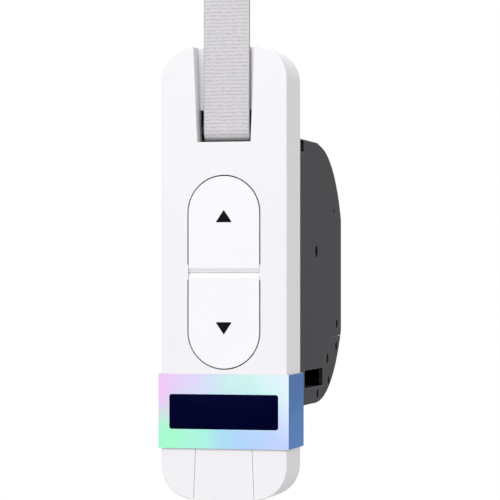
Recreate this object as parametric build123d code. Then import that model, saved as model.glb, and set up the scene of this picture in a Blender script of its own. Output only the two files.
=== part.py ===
from build123d import *
import math
import os

# Motor-driven strap winder for a roller shutter, sunk into the wall beside the window.
# The frame's origin is the middle of the front cover's back plane, which lies on the wall.
# X points right as seen from the room, Y goes into the wall and Z is up. Sizes are in mm.

# Strap, whose width sets the reel, the housing and the cover across the winder
strap_width = 20.0
strap_thickness = 1.3
strap_setback = 4.5
strap_above_cover = 34.0
strap_hem = 14.0
strap_gap = 0.3
strap_side_gap = 0.6
strap_gate_room = 2.0
strap_gate_height = 5.0

# Front cover
cover_overlap = 2.5
cover_height = 189.0
cover_depth = 24.5
cover_corner = 14.0
cover_wall = 2.0
cover_edge_round = 0.6
catch_z = 38.0
catch_length = 10.0
catch_reach = 1.1
catch_depth = 7.0
catch_land = 0.4
catch_ramp = 1.7
catch_gap = 0.4

# Strap slot at the top of the cover, repeated upside down at the bottom
slot_mouth_room = 6.2
slot_end_room = 3.0
slot_length = 39.8
slot_depth = 7.25
slot_wall = 1.5
slot_floor_length = 26.1
insert_gap = 0.15
insert_wall = 1.8

# Keys
key_side_land = 11.3
key_end_land = 14.1
key_field_centre_z = 0.35
key_slit = 0.5
key_guide_gap = 0.12
key_guide_low_z = -2.9
key_guide_high_z = 3.65
key_plate = 2.0
key_skirt = 2.4
key_skirt_wall = 1.3
key_groove_z = 0.17
key_groove_gap = 0.1
key_skirt_relief = 0.3
key_groove_depth = 1.4
key_groove_rise = 1.8
key_pin_radius = 0.8
key_pin_z = 1.75
key_pin_depth = 4.3
key_pin_reach = 2.2
key_ear = 2.6
key_ear_inset = 0.3
key_ear_wall = 0.4
key_boss_radius = 1.6
key_web = 1.2
key_web_inset = 2.0
bearing_gap = 0.2
bearing_length = 2.6
bearing_wall = 1.2

# Switches and control board
switch_from_key_end = 16.6
switch_size = 6.0
switch_height = 3.5
switch_floor = 1.0
plunger_radius = 1.5
plunger_height = 1.2
plunger_gap = 0.1
plunger_fit = 0.08
plunger_room = 0.8
board_depth = 12.0
board_thickness = 1.6
board_side_room = 4.5
board_top_gap = 6.7
board_bottom_gap = 11.7
board_boss_radius = 2.6
board_boss_side = 3.1
board_boss_end = 4.0
small_screw_radius = 1.1
small_screw_reach = 5.0
small_head_radius = 2.1
small_head_height = 1.5
head_round = 0.35
recess_span = 1.3
recess_wing = 0.26
recess_depth = 0.45
recess_core = 0.45
recess_core_depth = 0.75
radio_width = 18.0
radio_height = 24.0
radio_thickness = 3.2
radio_above_board_end = 9.0

# Guide roller
guide_radius = 5.7
guide_side_room = 0.7
guide_above_slot_end = 5.3
guide_rim = 2.0
guide_rim_height = 0.3
guide_pin_radius = 1.5
guide_pin_end = 0.5
guide_clearance = 0.06
cheek_wall = 2.0
cheek_gap = 0.3
cheek_half_height = 5.0
cheek_front = 4.5

# Chassis plate behind the cover
chassis_thickness = 2.5
chassis_gap = 0.25
chassis_rib = 1.6
chassis_rib_height = 6.0
wall_screw_inset = 12.0
wall_screw_radius = 2.25
wall_screw_head = 4.3
wall_pad_wall = 1.5
wall_pad_height = 1.5

# Reel
flange_radius = 40.0
flange_thickness = 1.4
flange_above_strap = 9.3
hub_radius = 10.0
hub_boss_radius = 7.5
window_holes = 6
window_hole_radius = 6.5
window_hole_shift = 1.0
gear_disc_thickness = 1.6
gear_rim = 4.0
gear_spoke = 1.6
gear_spoke_inset = 1.0
reel_axle_radius = 3.5
reel_axle_hole = 2.85
reel_boss_radius = 6.2
bush_wall = 1.5
bush_length = 8.0
axle_fit = 0.05
axle_end_gap = 0.1
end_play = 0.4
press_gap = 0.01

# Gears
pressure_angle = math.radians(20)
addendum = 0.85
dedendum = 1.2
tooth_play = 0.18
mesh_gap = 0.08
flange_over_pitch = 2.0
reel_teeth = 76
idler_small_teeth = 14
encoder_teeth = 14
motor_module = 0.6
idler_large_teeth = 36
pinion_teeth = 12
gear_face = 4.0
gear_start_gap = 0.3
layer_gap = 0.6
gear_side_gap = 1.9
pin_radius = 1.5
pin_grip = 10.2
idler_post_radius = 3.4
idler_recess = 1.4
idler_recess_rim = 2.2
encoder_angle = 130.0
encoder_boss_radius = 3.0
encoder_boss_gap = 1.8
encoder_board_size = 12.0
encoder_board_thickness = 1.2
encoder_board_gap = 1.4
magnet_radius = 5.0
magnet_thickness = 1.2

# Housing behind the wall: a D in the side view, with one arc at the lower rear, a tighter one at
# the upper rear and a short slope from the top down to that
housing_wall = 1.8
housing_above_slot_end = 3.1
housing_arc_over_flange = 13.5
housing_lower_arc_extra = 7.5
housing_lower_arc_drop = 0.3
housing_rear_flat = 4.5
housing_front_shift = 10.5
upper_arc_shift = (4.0, -0.5)
slope_before_arc_centre = 1.0
housing_corner = 5.0
housing_edge_round = 0.6
reel_from_arc_centre = (0.3, 5.7)
seam_gap = 0.2
seam_below_screws = 0.25
seam_above_window = 0.4
band_before_window = 2.6
window_before_motor = 1.5
window_length = 36.9
window_above_bottom = 7.2
window_height = 7.9
window_wall = 1.4
ceiling_end_gap = 4.0
clip_hole_start_y = 12.0
clip_hole_end_y = 18.5
clip_hole_height = 4.9
clip_hole_wall = 0.6
tooling_hole_radius = 1.25
tooling_hole_inset = 12.2
tooling_hole_angle = 37.2

# Screws that hold the half shells together, placed inwards from the lower arc at an angle
screw_radius = 1.25
screw_clearance = 0.2
thread_gap = 0.02
screw_recess_radius = 2.3
screw_recess = 9.5
screw_head_radius = 2.0
screw_head_height = 1.6
screw_grip = 8.0
screw_hole = 12.0
side_screw_from_idler = (14.6, 8.4)
service_screw_insets = (5.0, 2.7, 3.85)
service_screw_angles = (-41.4, -63.8, -87.6)
upper_post = (34.0, 4.8)
lower_post = (8.5, 18.5)
post_radius = 3.1
slim_post_radius = 2.1
slim_post_over_gearbox = 0.7
post_seat = 2.0
chassis_post_radius = 2.75
chassis_post_length = 8.0
chassis_screw_below_top = 5.8
chassis_screw_above_bottom = 5.0

# Motor
motor_inset = 12.95
motor_angle = -61.4
motor_radius = 8.0
motor_flat = 1.2
motor_flat_inset = 1.5
gearbox_length = 12.0
gearbox_gap = 0.5
gearbox_notches = 12
gearbox_notch_radius = 0.5
motor_fit = 0.15
pinion_shaft_radius = 1.2
pinion_shaft_grip = 5.0
pinion_bush_length = 1.6
pinion_boss_radius = 4.0
pinion_boss_height = 0.9
pinion_end_inset = 0.6
saddle_width = 2.0
saddle_reach = 3.0
saddle_end = 1.0
saddle_split = 0.2

# Supply and terminals
supply_board_gap = 1.4
supply_board_start_y = 13.0
supply_board_above_bottom = 3.0
supply_board_height = 21.0
supply_margin = 1.0
transformer_start = 2.0
transformer_length = 16.0
transformer_above_board_end = 2.5
transformer_height = 17.0
transformer_depth = 14.0
coil_inset = 3.2
coil_over_core = 1.6
capacitor_radius = 4.5
capacitor_length = 13.0
capacitor_above_bottom = 18.0
capacitor_gap = 0.5
terminal_length = 20.0
terminal_height = 7.6
terminal_depth = 9.0
terminal_poles = 3
terminal_left = -1.0
terminal_end_gap = 1.5
terminal_entry_radius = 1.4
terminal_entry_depth = 6.0
terminal_entry_height = 2.2
terminal_screw_radius = 1.5
terminal_screw_height = 5.4
terminal_screw_well = 5.0
terminal_screw_inset = 0.6
screw_slit = 0.5
screw_slit_depth = 0.8
clamp_start = 1.4
clamp_length = 10.0
clamp_recess = 4.5
clamp_height = 5.5
clamp_gap = 0.1
clamp_screw_grip = 5.0

# Card sleeve
sleeve_height = 31.0
sleeve_below_housing = 16.1
sleeve_card = 0.5
sleeve_gap = 0.5
sleeve_behind = 2.4
sleeve_notch_gap = 0.5

# How far a cut runs past the face that it opens, and a rib or boss into the wall that carries it
over = 1.0
rooted = 0.5

# Places across the winder, from the strap outwards
flange_inner_x = strap_width / 2 + strap_side_gap
flange_outer_x = flange_inner_x + flange_thickness
gear_left_x = flange_inner_x + gear_disc_thickness
gear_right_x = gear_left_x + gear_face
outer_gear_left_x = gear_right_x + layer_gap
outer_gear_right_x = outer_gear_left_x + gear_face
inner_side = outer_gear_right_x + gear_side_gap
housing_half_width = inner_side + housing_wall
cover_half_width = housing_half_width + cover_overlap
cover_width = 2 * cover_half_width
slot_mouth_width = strap_width + slot_mouth_room
slot_end_width = strap_width + slot_end_room
key_field_width = cover_width - 2 * key_side_land
key_half_width = key_field_width / 2 - key_slit
bearing_left_x = key_field_width / 2 + bearing_gap
bearing_right_x = bearing_left_x + bearing_length
board_half_width = cover_half_width - board_side_room
board_boss_x = board_half_width - board_boss_side
cheek_inner_x = slot_mouth_width / 2 + slot_wall + cheek_gap
chassis_screw_x = inner_side - chassis_post_radius + 0.05
gearbox_right_x = gear_left_x - gearbox_gap
gearbox_left_x = gearbox_right_x - gearbox_length
motor_left_x = -inner_side + end_play
supply_board_x = -inner_side + supply_board_gap
supply_parts_x = supply_board_x + board_thickness
terminal_right_x = terminal_left + terminal_depth
clamp_right_x = housing_half_width - clamp_recess

# Places in depth
front = -cover_depth
inner_front = front + cover_wall
slot_floor_y = front + slot_depth
key_pin_y = front + key_pin_depth
board_front_y = -board_depth
board_back_y = board_front_y + board_thickness
switch_front_y = board_front_y - switch_height
plunger_front_y = switch_front_y - plunger_height
strap_line_y = front + strap_setback + strap_thickness / 2
guide_wrap = guide_radius + strap_gap + strap_thickness / 2
guide_y = strap_line_y + guide_wrap

# Heights
half_height = cover_height / 2
slot_end_z = half_height - slot_length
slot_floor_end_z = half_height - slot_floor_length
guide_z = slot_end_z + guide_above_slot_end
strap_end_z = half_height + strap_above_cover
key_field_height = 2 * (slot_end_z - key_end_land)
switch_z = key_field_height / 2 - switch_from_key_end
board_top = slot_end_z - board_top_gap
board_bottom = -slot_end_z + board_bottom_gap
board_boss_z = (board_top - board_boss_end, board_bottom + board_boss_end)
wall_screw_spacing = cover_height - 2 * wall_screw_inset

# Housing outline
housing_upper_arc = flange_radius + housing_arc_over_flange
housing_lower_arc = housing_upper_arc + housing_lower_arc_extra
housing_top = slot_end_z + housing_above_slot_end
arc_centre = (
    housing_upper_arc - housing_front_shift,
    housing_top - housing_upper_arc - housing_lower_arc_drop,
)
upper_arc_centre = (arc_centre[0] + upper_arc_shift[0], arc_centre[1] + upper_arc_shift[1])
slope_start = (upper_arc_centre[0] - slope_before_arc_centre, housing_top)
housing_bottom = arc_centre[1] - housing_lower_arc
housing_depth = upper_arc_centre[0] + housing_upper_arc - housing_rear_flat
chassis_screw_z = (housing_bottom + chassis_screw_above_bottom, housing_top - chassis_screw_below_top)
sleeve_bottom = housing_bottom - sleeve_below_housing
sleeve_top = sleeve_bottom + sleeve_height


def polar(centre, radius, degrees):
    angle = math.radians(degrees)
    return (centre[0] + radius * math.cos(angle), centre[1] + radius * math.sin(angle))


def heading(start, end):
    return math.degrees(math.atan2(end[1] - start[1], end[0] - start[0]))


def pitch_radius(module, teeth):
    return module * teeth / 2


def meet(centre_a, reach_a, centre_b, reach_b):
    # The point at two given distances from two centres, on the right of the way from a to b
    gap = math.dist(centre_a, centre_b)
    along = (reach_a**2 - reach_b**2 + gap**2) / (2 * gap)
    aside = math.sqrt(reach_a**2 - along**2)
    step_y = (centre_b[0] - centre_a[0]) / gap
    step_z = (centre_b[1] - centre_a[1]) / gap
    return (centre_a[0] + along * step_y - aside * step_z, centre_a[1] + along * step_z + aside * step_y)


# Centres in the side view, as depth and height
reel_centre = (arc_centre[0] + reel_from_arc_centre[0], arc_centre[1] + reel_from_arc_centre[1])
motor_centre = polar(arc_centre, housing_lower_arc - motor_inset, motor_angle)
reel_module = 2 * (flange_radius - flange_over_pitch) / reel_teeth
reel_to_idler = pitch_radius(reel_module, reel_teeth + idler_small_teeth) + mesh_gap
idler_to_motor = pitch_radius(motor_module, idler_large_teeth + pinion_teeth) + mesh_gap
idler_centre = meet(reel_centre, reel_to_idler, motor_centre, idler_to_motor)
reel_to_encoder = pitch_radius(reel_module, reel_teeth + encoder_teeth) + mesh_gap
encoder_centre = polar(reel_centre, reel_to_encoder, encoder_angle)
guide_centre = (guide_y, guide_z)
side_screw = polar(idler_centre, *side_screw_from_idler)
service_screws = [
    polar(arc_centre, housing_lower_arc - inset, angle)
    for inset, angle in zip(service_screw_insets, service_screw_angles)
]
inner_posts = [(upper_post[0], housing_top - upper_post[1]), (lower_post[0], housing_bottom + lower_post[1])]
tooling_hole = polar(upper_arc_centre, housing_upper_arc - tooling_hole_inset, tooling_hole_angle)

# Cable window, and the seam between the right housing and the service cover
window_end_y = motor_centre[0] - motor_radius - window_before_motor
window_start_y = window_end_y - window_length
window_low = housing_bottom + window_above_bottom
window_high = window_low + window_height
band_start_y = window_start_y - band_before_window
seam_z = (side_screw[1] + service_screws[0][1]) / 2 - seam_below_screws
seam_arc = arc_centre[1] - window_high - seam_above_window

# Reel, supply board and terminals in the side view
bush_radius = reel_axle_radius + axle_fit + bush_wall
wound_radius = flange_radius - flange_above_strap
window_hole_pitch = (hub_radius + flange_radius) / 2 + window_hole_shift
supply_board_low = housing_bottom + supply_board_above_bottom
supply_board_high = supply_board_low + supply_board_height
transformer_start_y = supply_board_start_y + transformer_start
transformer_end_y = transformer_start_y + transformer_length
capacitor_z = housing_bottom + capacitor_above_bottom
capacitors_y = [
    transformer_end_y + supply_margin + capacitor_radius,
    transformer_end_y + supply_margin + capacitor_radius * 3 + capacitor_gap,
]
supply_board_end_y = capacitors_y[-1] + capacitor_radius + supply_margin
terminal_low = window_low + clamp_gap
terminal_y = window_end_y - terminal_end_gap - terminal_length
clamp_y = window_start_y + clamp_start


def from_front(outline, back, face):
    # An outline of the front view, made solid from one depth forward to another
    return extrude(Plane.XZ.offset(-back) * outline, back - face, dir=(0, -1, 0))


def from_side(outline, left, right):
    # An outline of the side view, whose first axis is the depth, made solid from left to right
    return extrude(Plane.YZ.offset(left) * outline, right - left, dir=(1, 0, 0))


def cross_rod(centre, radius, left, right):
    return from_side(Pos(*centre) * Circle(radius), left, right)


def depth_rod(x, z, radius, back, face):
    return from_front(Pos(x, z) * Circle(radius), back, face)


def screw_head(radius, height):
    # A pan head on the XY plane: rounded shoulder, and a cross recess with a tapered core on top
    head = extrude(Circle(radius), height)
    head = fillet(head.edges().group_by(Axis.Z)[-1], head_round * height)
    wing = Rectangle(recess_span * radius, recess_wing * radius)
    cross = Plane.XY.offset(height + over) * (wing + Rot(0, 0, 90) * wing)
    head -= extrude(cross, -(recess_depth * height + over))
    core = Cone(over, recess_core * radius, recess_core_depth * height)
    return head - Pos(0, 0, height * (1 - recess_core_depth / 2)) * core


def block(x_range, y_range, z_range):
    sizes = [high - low for low, high in (x_range, y_range, z_range)]
    middle = [(high + low) / 2 for low, high in (x_range, y_range, z_range)]
    return Pos(*middle) * Box(*sizes)


def block_outline(low_a, high_a, low_b, high_b):
    middle = Pos((low_a + high_a) / 2, (low_b + high_b) / 2)
    return middle * Rectangle(high_a - low_a, high_b - low_b)


def mirrored(shape):
    return mirror(shape, Plane.YZ)


def both_sides(shape):
    return shape + mirrored(shape)


def upside_down(shape):
    return mirror(shape, Plane.XY)


# Outlines


def slot_outline(grow, extra):
    # The strap slot seen from the front: it narrows from the cover's edge down to its end
    slope = (slot_mouth_width - slot_end_width) / 2 / slot_length
    end = slot_end_width / 2 + grow
    mouth = slot_mouth_width / 2 + grow + slope * extra
    high = half_height + extra
    low = slot_end_z - grow
    return Polygon((-end, low), (end, low), (mouth, high), (-mouth, high), align=None)


def key_field(shrink):
    capsule = SlotOverall(key_field_height - 2 * shrink, key_field_width - 2 * shrink, rotation=90)
    return Pos(0, key_field_centre_z) * capsule


def make_housing_outline():
    # D shape: square in front, a slope that touches the upper rear arc, a flat and the lower rear arc
    touch = math.degrees(math.acos(housing_upper_arc / math.dist(upper_arc_centre, slope_start)))
    slope_end = heading(upper_arc_centre, slope_start) - touch
    high = math.degrees(math.acos((housing_depth - upper_arc_centre[0]) / housing_upper_arc))
    low = -math.degrees(math.acos((housing_depth - arc_centre[0]) / housing_lower_arc))
    front_corners = [(arc_centre[0], housing_bottom), (0, housing_bottom), (0, housing_top), slope_start]
    edges = [
        Polyline(*front_corners, polar(upper_arc_centre, housing_upper_arc, slope_end)),
        CenterArc(upper_arc_centre, housing_upper_arc, slope_end, high - slope_end),
        Line(polar(upper_arc_centre, housing_upper_arc, high), polar(arc_centre, housing_lower_arc, low)),
        CenterArc(arc_centre, housing_lower_arc, low, -90 - low),
    ]
    outline = make_face(Wire([edge for part in edges for edge in part.edges()]))
    rear = [corner for corner in outline.vertices() if corner.X > housing_depth - over]
    return fillet(rear, housing_corner)


housing_outline = make_housing_outline()


def service_band(gap):
    # The part of the side below the seam: outside an arc round the reel, and under the window
    low = housing_bottom - over
    rear = block_outline(window_end_y, housing_depth + over, low, seam_z - gap)
    rear -= Pos(*arc_centre) * Circle(seam_arc + gap)
    strip = block_outline(band_start_y + gap, window_end_y, low, window_high - gap)
    return rear + strip


def gear_outline(module, teeth, tooth_angle):
    # A spur gear about the origin: involute flanks between the root and the tip circle. The first
    # tooth points at tooth_angle. tooth_play is taken off each tooth's thickness.
    pitch = pitch_radius(module, teeth)
    base = pitch * math.cos(pressure_angle)
    tip = pitch + addendum * module
    root = pitch - dedendum * module
    start = max(base, root)
    flank_points = 3
    root_share = 0.85
    half_at_pitch = (math.pi / 2 - tooth_play / module) / teeth
    roll = math.tan(pressure_angle) - pressure_angle

    def half_angle(radius):
        turn = math.acos(min(1.0, base / radius))
        return half_at_pitch + roll - (math.tan(turn) - turn)

    radii = [start + (tip - start) * step / (flank_points - 1) for step in range(flank_points)]
    flank = [(radius, half_angle(radius)) for radius in radii]
    if root < start:
        flank.insert(0, (root, root_share * half_angle(start)))
    points = []
    for tooth in range(teeth):
        middle = math.radians(tooth_angle) + 2 * math.pi * tooth / teeth
        sides = [(radius, middle - half) for radius, half in flank]
        sides += [(radius, middle + half) for radius, half in flank[::-1]]
        points += [(radius * math.cos(angle), radius * math.sin(angle)) for radius, angle in sides]
    return Polygon(*points, align=None)


def meshing_angle(teeth, angle, other_teeth, direction):
    # Tooth angle of a second gear that meshes with a first one, whose first tooth points at angle.
    # direction is the way from the first gear's centre to the second one's.
    share = (direction - angle) * teeth / 360 % 1
    return direction + 180 - (0.5 - share) * 360 / other_teeth


reel_tooth_angle = 0.0
idler_angle = meshing_angle(
    reel_teeth, reel_tooth_angle, idler_small_teeth, heading(reel_centre, idler_centre)
)
pinion_angle = meshing_angle(
    idler_large_teeth, idler_angle, pinion_teeth, heading(idler_centre, motor_centre)
)
encoder_tooth_angle = meshing_angle(reel_teeth, reel_tooth_angle, encoder_teeth, encoder_angle)


def strap_geometry():
    # The strap's middle line leaves the roller on a straight that touches the wound roll on top
    middle = wound_radius + strap_gap + strap_thickness / 2
    across = reel_centre[0] - guide_y
    down = guide_z - reel_centre[1]
    fall = math.atan2(down, across) - math.asin((guide_wrap + middle) / math.hypot(across, down))
    leave = (guide_y - guide_wrap * math.sin(fall), guide_z - guide_wrap * math.cos(fall))
    arrive = (reel_centre[0] + middle * math.sin(fall), reel_centre[1] + middle * math.cos(fall))
    return leave, arrive, math.degrees(fall)


def strap_gate(back, face):
    # The way through the chassis plate and the housing's front wall, round the strap's line
    leave, arrive, _ = strap_geometry()
    slope = (arrive[1] - leave[1]) / (arrive[0] - leave[0])
    middle = leave[1] - slope * leave[0]
    half = strap_width / 2 + strap_gate_room
    gate = block_outline(-half, half, middle - strap_gate_height, middle + strap_gate_height)
    return from_front(gate, back, face)


# Front cover and what it carries


def slot_channel():
    # Side walls, end wall and floor of one strap slot, with the floor open near its end
    tray = from_front(slot_outline(slot_wall, 0), slot_floor_y + slot_wall, front)
    return tray & from_front(RectangleRounded(cover_width, cover_height, cover_corner), 0, front)


def slot_cut():
    groove = from_front(slot_outline(0, over), slot_floor_y, front - over)
    drop_x = (-slot_end_width / 2, slot_end_width / 2)
    mouth_x = (-slot_mouth_width / 2, slot_mouth_width / 2)
    drop = from_front(slot_outline(0, 0), 0, front - over)
    drop &= block(mouth_x, (front - over, 0), (slot_end_z, slot_floor_end_z))
    under = block(drop_x, (inner_front + over, 0), (slot_end_z - slot_wall - over, slot_end_z + over))
    return groove + drop + under


def cover_catch():
    # Hook on the cover's right wall: flat towards the room, with a ramp towards the wall
    wall_x = cover_half_width - cover_wall
    tip_x = wall_x - catch_reach
    hook = Polygon(
        (wall_x + rooted, -catch_depth),
        (tip_x, -catch_depth),
        (tip_x, -catch_depth + catch_land),
        (wall_x + rooted, -catch_depth + catch_land + catch_ramp),
        align=None,
    )
    length = catch_length / 2
    hooks = [
        extrude(Plane.XY.offset(side * catch_z - length) * hook, catch_length, dir=(0, 0, 1))
        for side in (-1, 1)
    ]
    return hooks[0] + hooks[1]


def catch_window():
    # The cut in the chassis rim that the catches of the right wall snap into
    start = -catch_depth - catch_gap
    end = -catch_depth + catch_land + catch_ramp + catch_gap
    half = catch_length / 2 + catch_gap
    x_range = (cover_half_width - cover_wall - chassis_gap - chassis_rib - over, cover_half_width)
    windows = [
        block(x_range, (start, end), (side * catch_z - half, side * catch_z + half)) for side in (-1, 1)
    ]
    return windows[0] + windows[1]


def board_boss_places():
    return [(x, z) for x in (-board_boss_x, board_boss_x) for z in board_boss_z]


def key_pin_heights():
    return [key_groove_z + side * key_pin_z for side in (-1, 1)]


def front_cover():
    body = from_front(RectangleRounded(cover_width, cover_height, cover_corner), 0, front)
    body = fillet(body.edges().group_by(Axis.Y)[0], cover_edge_round)
    inner = RectangleRounded(
        cover_width - 2 * cover_wall, cover_height - 2 * cover_wall, cover_corner - cover_wall
    )
    body -= from_front(inner, over, inner_front)
    channel = slot_channel()
    body += channel + upside_down(channel)
    body -= slot_cut()
    body -= upside_down(slot_cut())
    body -= from_front(key_field(0), inner_front + over, front - over)
    guide = block(
        (key_half_width + key_guide_gap, key_field_width / 2 + over),
        (front, inner_front),
        (key_guide_low_z, key_guide_high_z),
    )
    low_pin, high_pin = key_pin_heights()
    around_pin = key_pin_radius + bearing_wall
    bearing = block(
        (bearing_left_x, bearing_right_x),
        (inner_front - rooted, key_pin_y + around_pin),
        (low_pin - around_pin, high_pin + around_pin),
    )
    body += both_sides(guide + bearing + cover_catch())
    for z in (low_pin, high_pin):
        reach = bearing_right_x + over
        body -= cross_rod((key_pin_y, z), key_pin_radius + axle_fit, -reach, reach)
    for x, z in board_boss_places():
        body += depth_rod(x, z, board_boss_radius, board_front_y, inner_front - rooted)
        body -= depth_rod(x, z, small_screw_radius, board_front_y + over, inner_front + cover_wall)
    return body


def slot_insert():
    # Blanking piece for the lower slot: front plate, end wall at the cover's edge and two skirts
    floor_y = slot_floor_y - insert_gap
    solid = from_front(slot_outline(-insert_gap, 0), floor_y, front)
    hollow = slot_outline(-insert_gap - insert_wall, -insert_wall)
    return upside_down(solid - from_front(hollow, slot_floor_y, front + insert_wall))


def key(side):
    # One half of the capsule: flush plate with a skirt, the slope of the groove, and hinge pins
    edge = key_groove_z + side * key_groove_gap / 2
    reach = key_field_height
    far = edge + side * reach
    half = block_outline(-reach, reach, min(edge, far), max(edge, far))
    outline = key_field(key_slit) & half
    skirt_back = inner_front + key_skirt
    plate_back = front + key_plate
    solid = from_front(outline, skirt_back, front)
    skirt_inside = offset(outline, -key_skirt_wall, kind=Kind.INTERSECTION)
    solid -= from_front(skirt_inside, skirt_back + over, plate_back)
    relief = edge + side * key_skirt_relief
    relief_outline = block_outline(-reach, reach, min(edge - side, relief), max(edge - side, relief))
    solid -= from_front(relief_outline, skirt_back + over, plate_back)
    slope_run = (key_groove_depth + over) / key_groove_depth * key_groove_rise
    slope = Polygon(
        (front - over, edge + side * slope_run),
        (front - over, edge - side),
        (front + key_groove_depth, edge - side),
        (front + key_groove_depth, edge),
        align=None,
    )
    solid -= from_side(slope, -key_field_width, key_field_width)
    pin_z = key_groove_z + side * key_pin_z
    ear_right = key_half_width - key_ear_inset
    ear = block(
        (ear_right - key_ear, ear_right),
        (plate_back - rooted, key_pin_y + key_pin_radius + key_ear_wall),
        (pin_z - key_ear / 2, pin_z + key_ear / 2),
    )
    pin = cross_rod((key_pin_y, pin_z), key_pin_radius, ear_right - over, key_half_width + key_pin_reach)
    solid += both_sides(ear + pin)
    boss_z = side * switch_z
    solid += depth_rod(0, boss_z, key_boss_radius, plunger_front_y - plunger_gap, plate_back - rooted)
    web = key_web / 2
    web_y = (plate_back - rooted, skirt_back)
    web_reach = key_half_width - key_web_inset
    lengthways = block((-web, web), web_y, (boss_z - web_reach, boss_z + web_reach))
    crossways = block((-key_half_width, key_half_width), web_y, (boss_z - web, boss_z + web))
    return solid + ((lengthways + crossways) & from_front(outline, skirt_back, front))


def control_board():
    outline = block_outline(-board_half_width, board_half_width, board_bottom, board_top)
    board = from_front(outline, board_back_y, board_front_y)
    for x, z in board_boss_places():
        board -= depth_rod(x, z, small_screw_radius + screw_clearance, 0, front)
    return board


def board_screws():
    screws = []
    tip_y = board_front_y - small_screw_reach
    head = Rot(-90, 0, 0) * screw_head(small_head_radius, small_head_height)
    for x, z in board_boss_places():
        shank = depth_rod(x, z, small_screw_radius - thread_gap, board_back_y, tip_y)
        screws.append(shank + Pos(x, board_back_y, z) * head)
    return screws


def switch_body(z):
    half = switch_size / 2
    body = block((-half, half), (switch_front_y, board_front_y), (z - half, z + half))
    well_back = board_front_y - switch_floor
    return body - depth_rod(0, z, plunger_radius + plunger_fit, well_back, switch_front_y - over)


def switch_plunger(z):
    return depth_rod(0, z, plunger_radius, board_front_y - switch_floor - plunger_room, plunger_front_y)


def radio_module():
    low = board_bottom + radio_above_board_end
    return block(
        (-radio_width / 2, radio_width / 2),
        (board_back_y, board_back_y + radio_thickness),
        (low, low + radio_height),
    )


# Strap, guide roller and chassis


def strap_run():
    leave, arrive, fall = strap_geometry()
    down = Line((strap_line_y, strap_end_z), (strap_line_y, guide_z))
    bend = CenterArc(guide_centre, guide_wrap, 180, 90 - fall)
    back = Line(leave, arrive)
    half = strap_width / 2
    run = from_side(trace(Wire([down, bend, back]), strap_thickness), -half, half)
    hem_front = strap_line_y + strap_thickness / 2 - thread_gap
    hem_back = strap_line_y + strap_thickness * 3 / 2
    hem = block_outline(hem_front, hem_back, strap_end_z - strap_hem, strap_end_z)
    return run + from_side(hem, -half, half)


def guide_roller():
    half = strap_width / 2 + guide_side_room
    barrel = cross_rod(guide_centre, guide_radius, -half, half)
    waist = half - guide_rim
    groove = cross_rod(guide_centre, guide_radius + over, -waist, waist)
    groove -= cross_rod(guide_centre, guide_radius - guide_rim_height, -half, half)
    bore = cross_rod(guide_centre, guide_pin_radius + guide_clearance, -half - over, half + over)
    return barrel - groove - bore


def guide_roller_pin():
    reach = cheek_inner_x + cheek_wall + guide_pin_end
    return cross_rod(guide_centre, guide_pin_radius, -reach, reach)


def chassis_screw_places():
    return [(x, z) for x in (-chassis_screw_x, chassis_screw_x) for z in chassis_screw_z]


def chassis_plate():
    margin = cover_wall + chassis_gap
    outline = RectangleRounded(cover_width - 2 * margin, cover_height - 2 * margin, cover_corner - margin)
    plate_front = -chassis_thickness
    plate = from_front(outline, 0, plate_front)
    inner = offset(outline, -chassis_rib)
    plate += from_front(outline - inner, plate_front + rooted, plate_front - chassis_rib_height)
    plate -= strap_gate(over, plate_front - over)
    pad_radius = wall_screw_head + wall_pad_wall
    pad_front = plate_front - wall_pad_height
    for z in (-wall_screw_spacing / 2, wall_screw_spacing / 2):
        plate -= depth_rod(0, z, wall_screw_radius, over, front)
        pad = depth_rod(0, z, pad_radius, plate_front + rooted, pad_front)
        plate += pad - depth_rod(0, z, wall_screw_head, over, front)
    for x, z in chassis_screw_places():
        plate -= depth_rod(x, z, screw_radius + screw_clearance, over, front)
    cheek = block(
        (cheek_inner_x, cheek_inner_x + cheek_wall),
        (guide_y - cheek_front, plate_front + rooted),
        (guide_z - cheek_half_height, guide_z + cheek_half_height),
    )
    cheek -= cross_rod(guide_centre, guide_pin_radius + press_gap, 0, cover_width)
    return plate + both_sides(cheek) - both_sides(catch_window())


def chassis_screws():
    plate_front = -chassis_thickness
    head = Rot(90, 0, 0) * screw_head(screw_head_radius, screw_head_height)
    tip = chassis_post_length - over
    return [
        depth_rod(x, z, screw_radius - thread_gap, tip, plate_front) + Pos(x, plate_front, z) * head
        for x, z in chassis_screw_places()
    ]


# Housing


def half_shell():
    # Right half of the housing, open at the middle plane, with its side's edge rounded
    shell = from_side(housing_outline, 0, housing_half_width)
    shell = fillet(shell.edges().group_by(Axis.X)[-1], housing_edge_round)
    return shell - from_side(offset(housing_outline, -housing_wall), -over, inner_side)


def inside_shell():
    # The room that ribs and posts are cut to, so that each is rooted in the walls that it meets
    return from_side(offset(housing_outline, -rooted), 0, inner_side + rooted)


def chassis_posts(side):
    posts = [
        depth_rod(side * chassis_screw_x, z, chassis_post_radius, chassis_post_length, rooted)
        for z in chassis_screw_z
    ]
    return posts[0] + posts[1]


def chassis_post_holes(side):
    depth = chassis_post_length + over
    holes = [depth_rod(side * chassis_screw_x, z, screw_radius, depth, -over) for z in chassis_screw_z]
    return holes[0] + holes[1]


def saddle(left, above):
    # Rib with a half-round seat for the motor. It reaches down from above or up from below.
    y, z = motor_centre
    reach = motor_radius + saddle_reach
    low, high = (z + saddle_split, z + reach) if above else (z - reach, z - saddle_split)
    right = left + saddle_width
    rib = from_side(block_outline(y - reach, y + reach, low, high), left, right)
    return rib - cross_rod(motor_centre, motor_radius + motor_fit, left - over, right + over)


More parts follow.
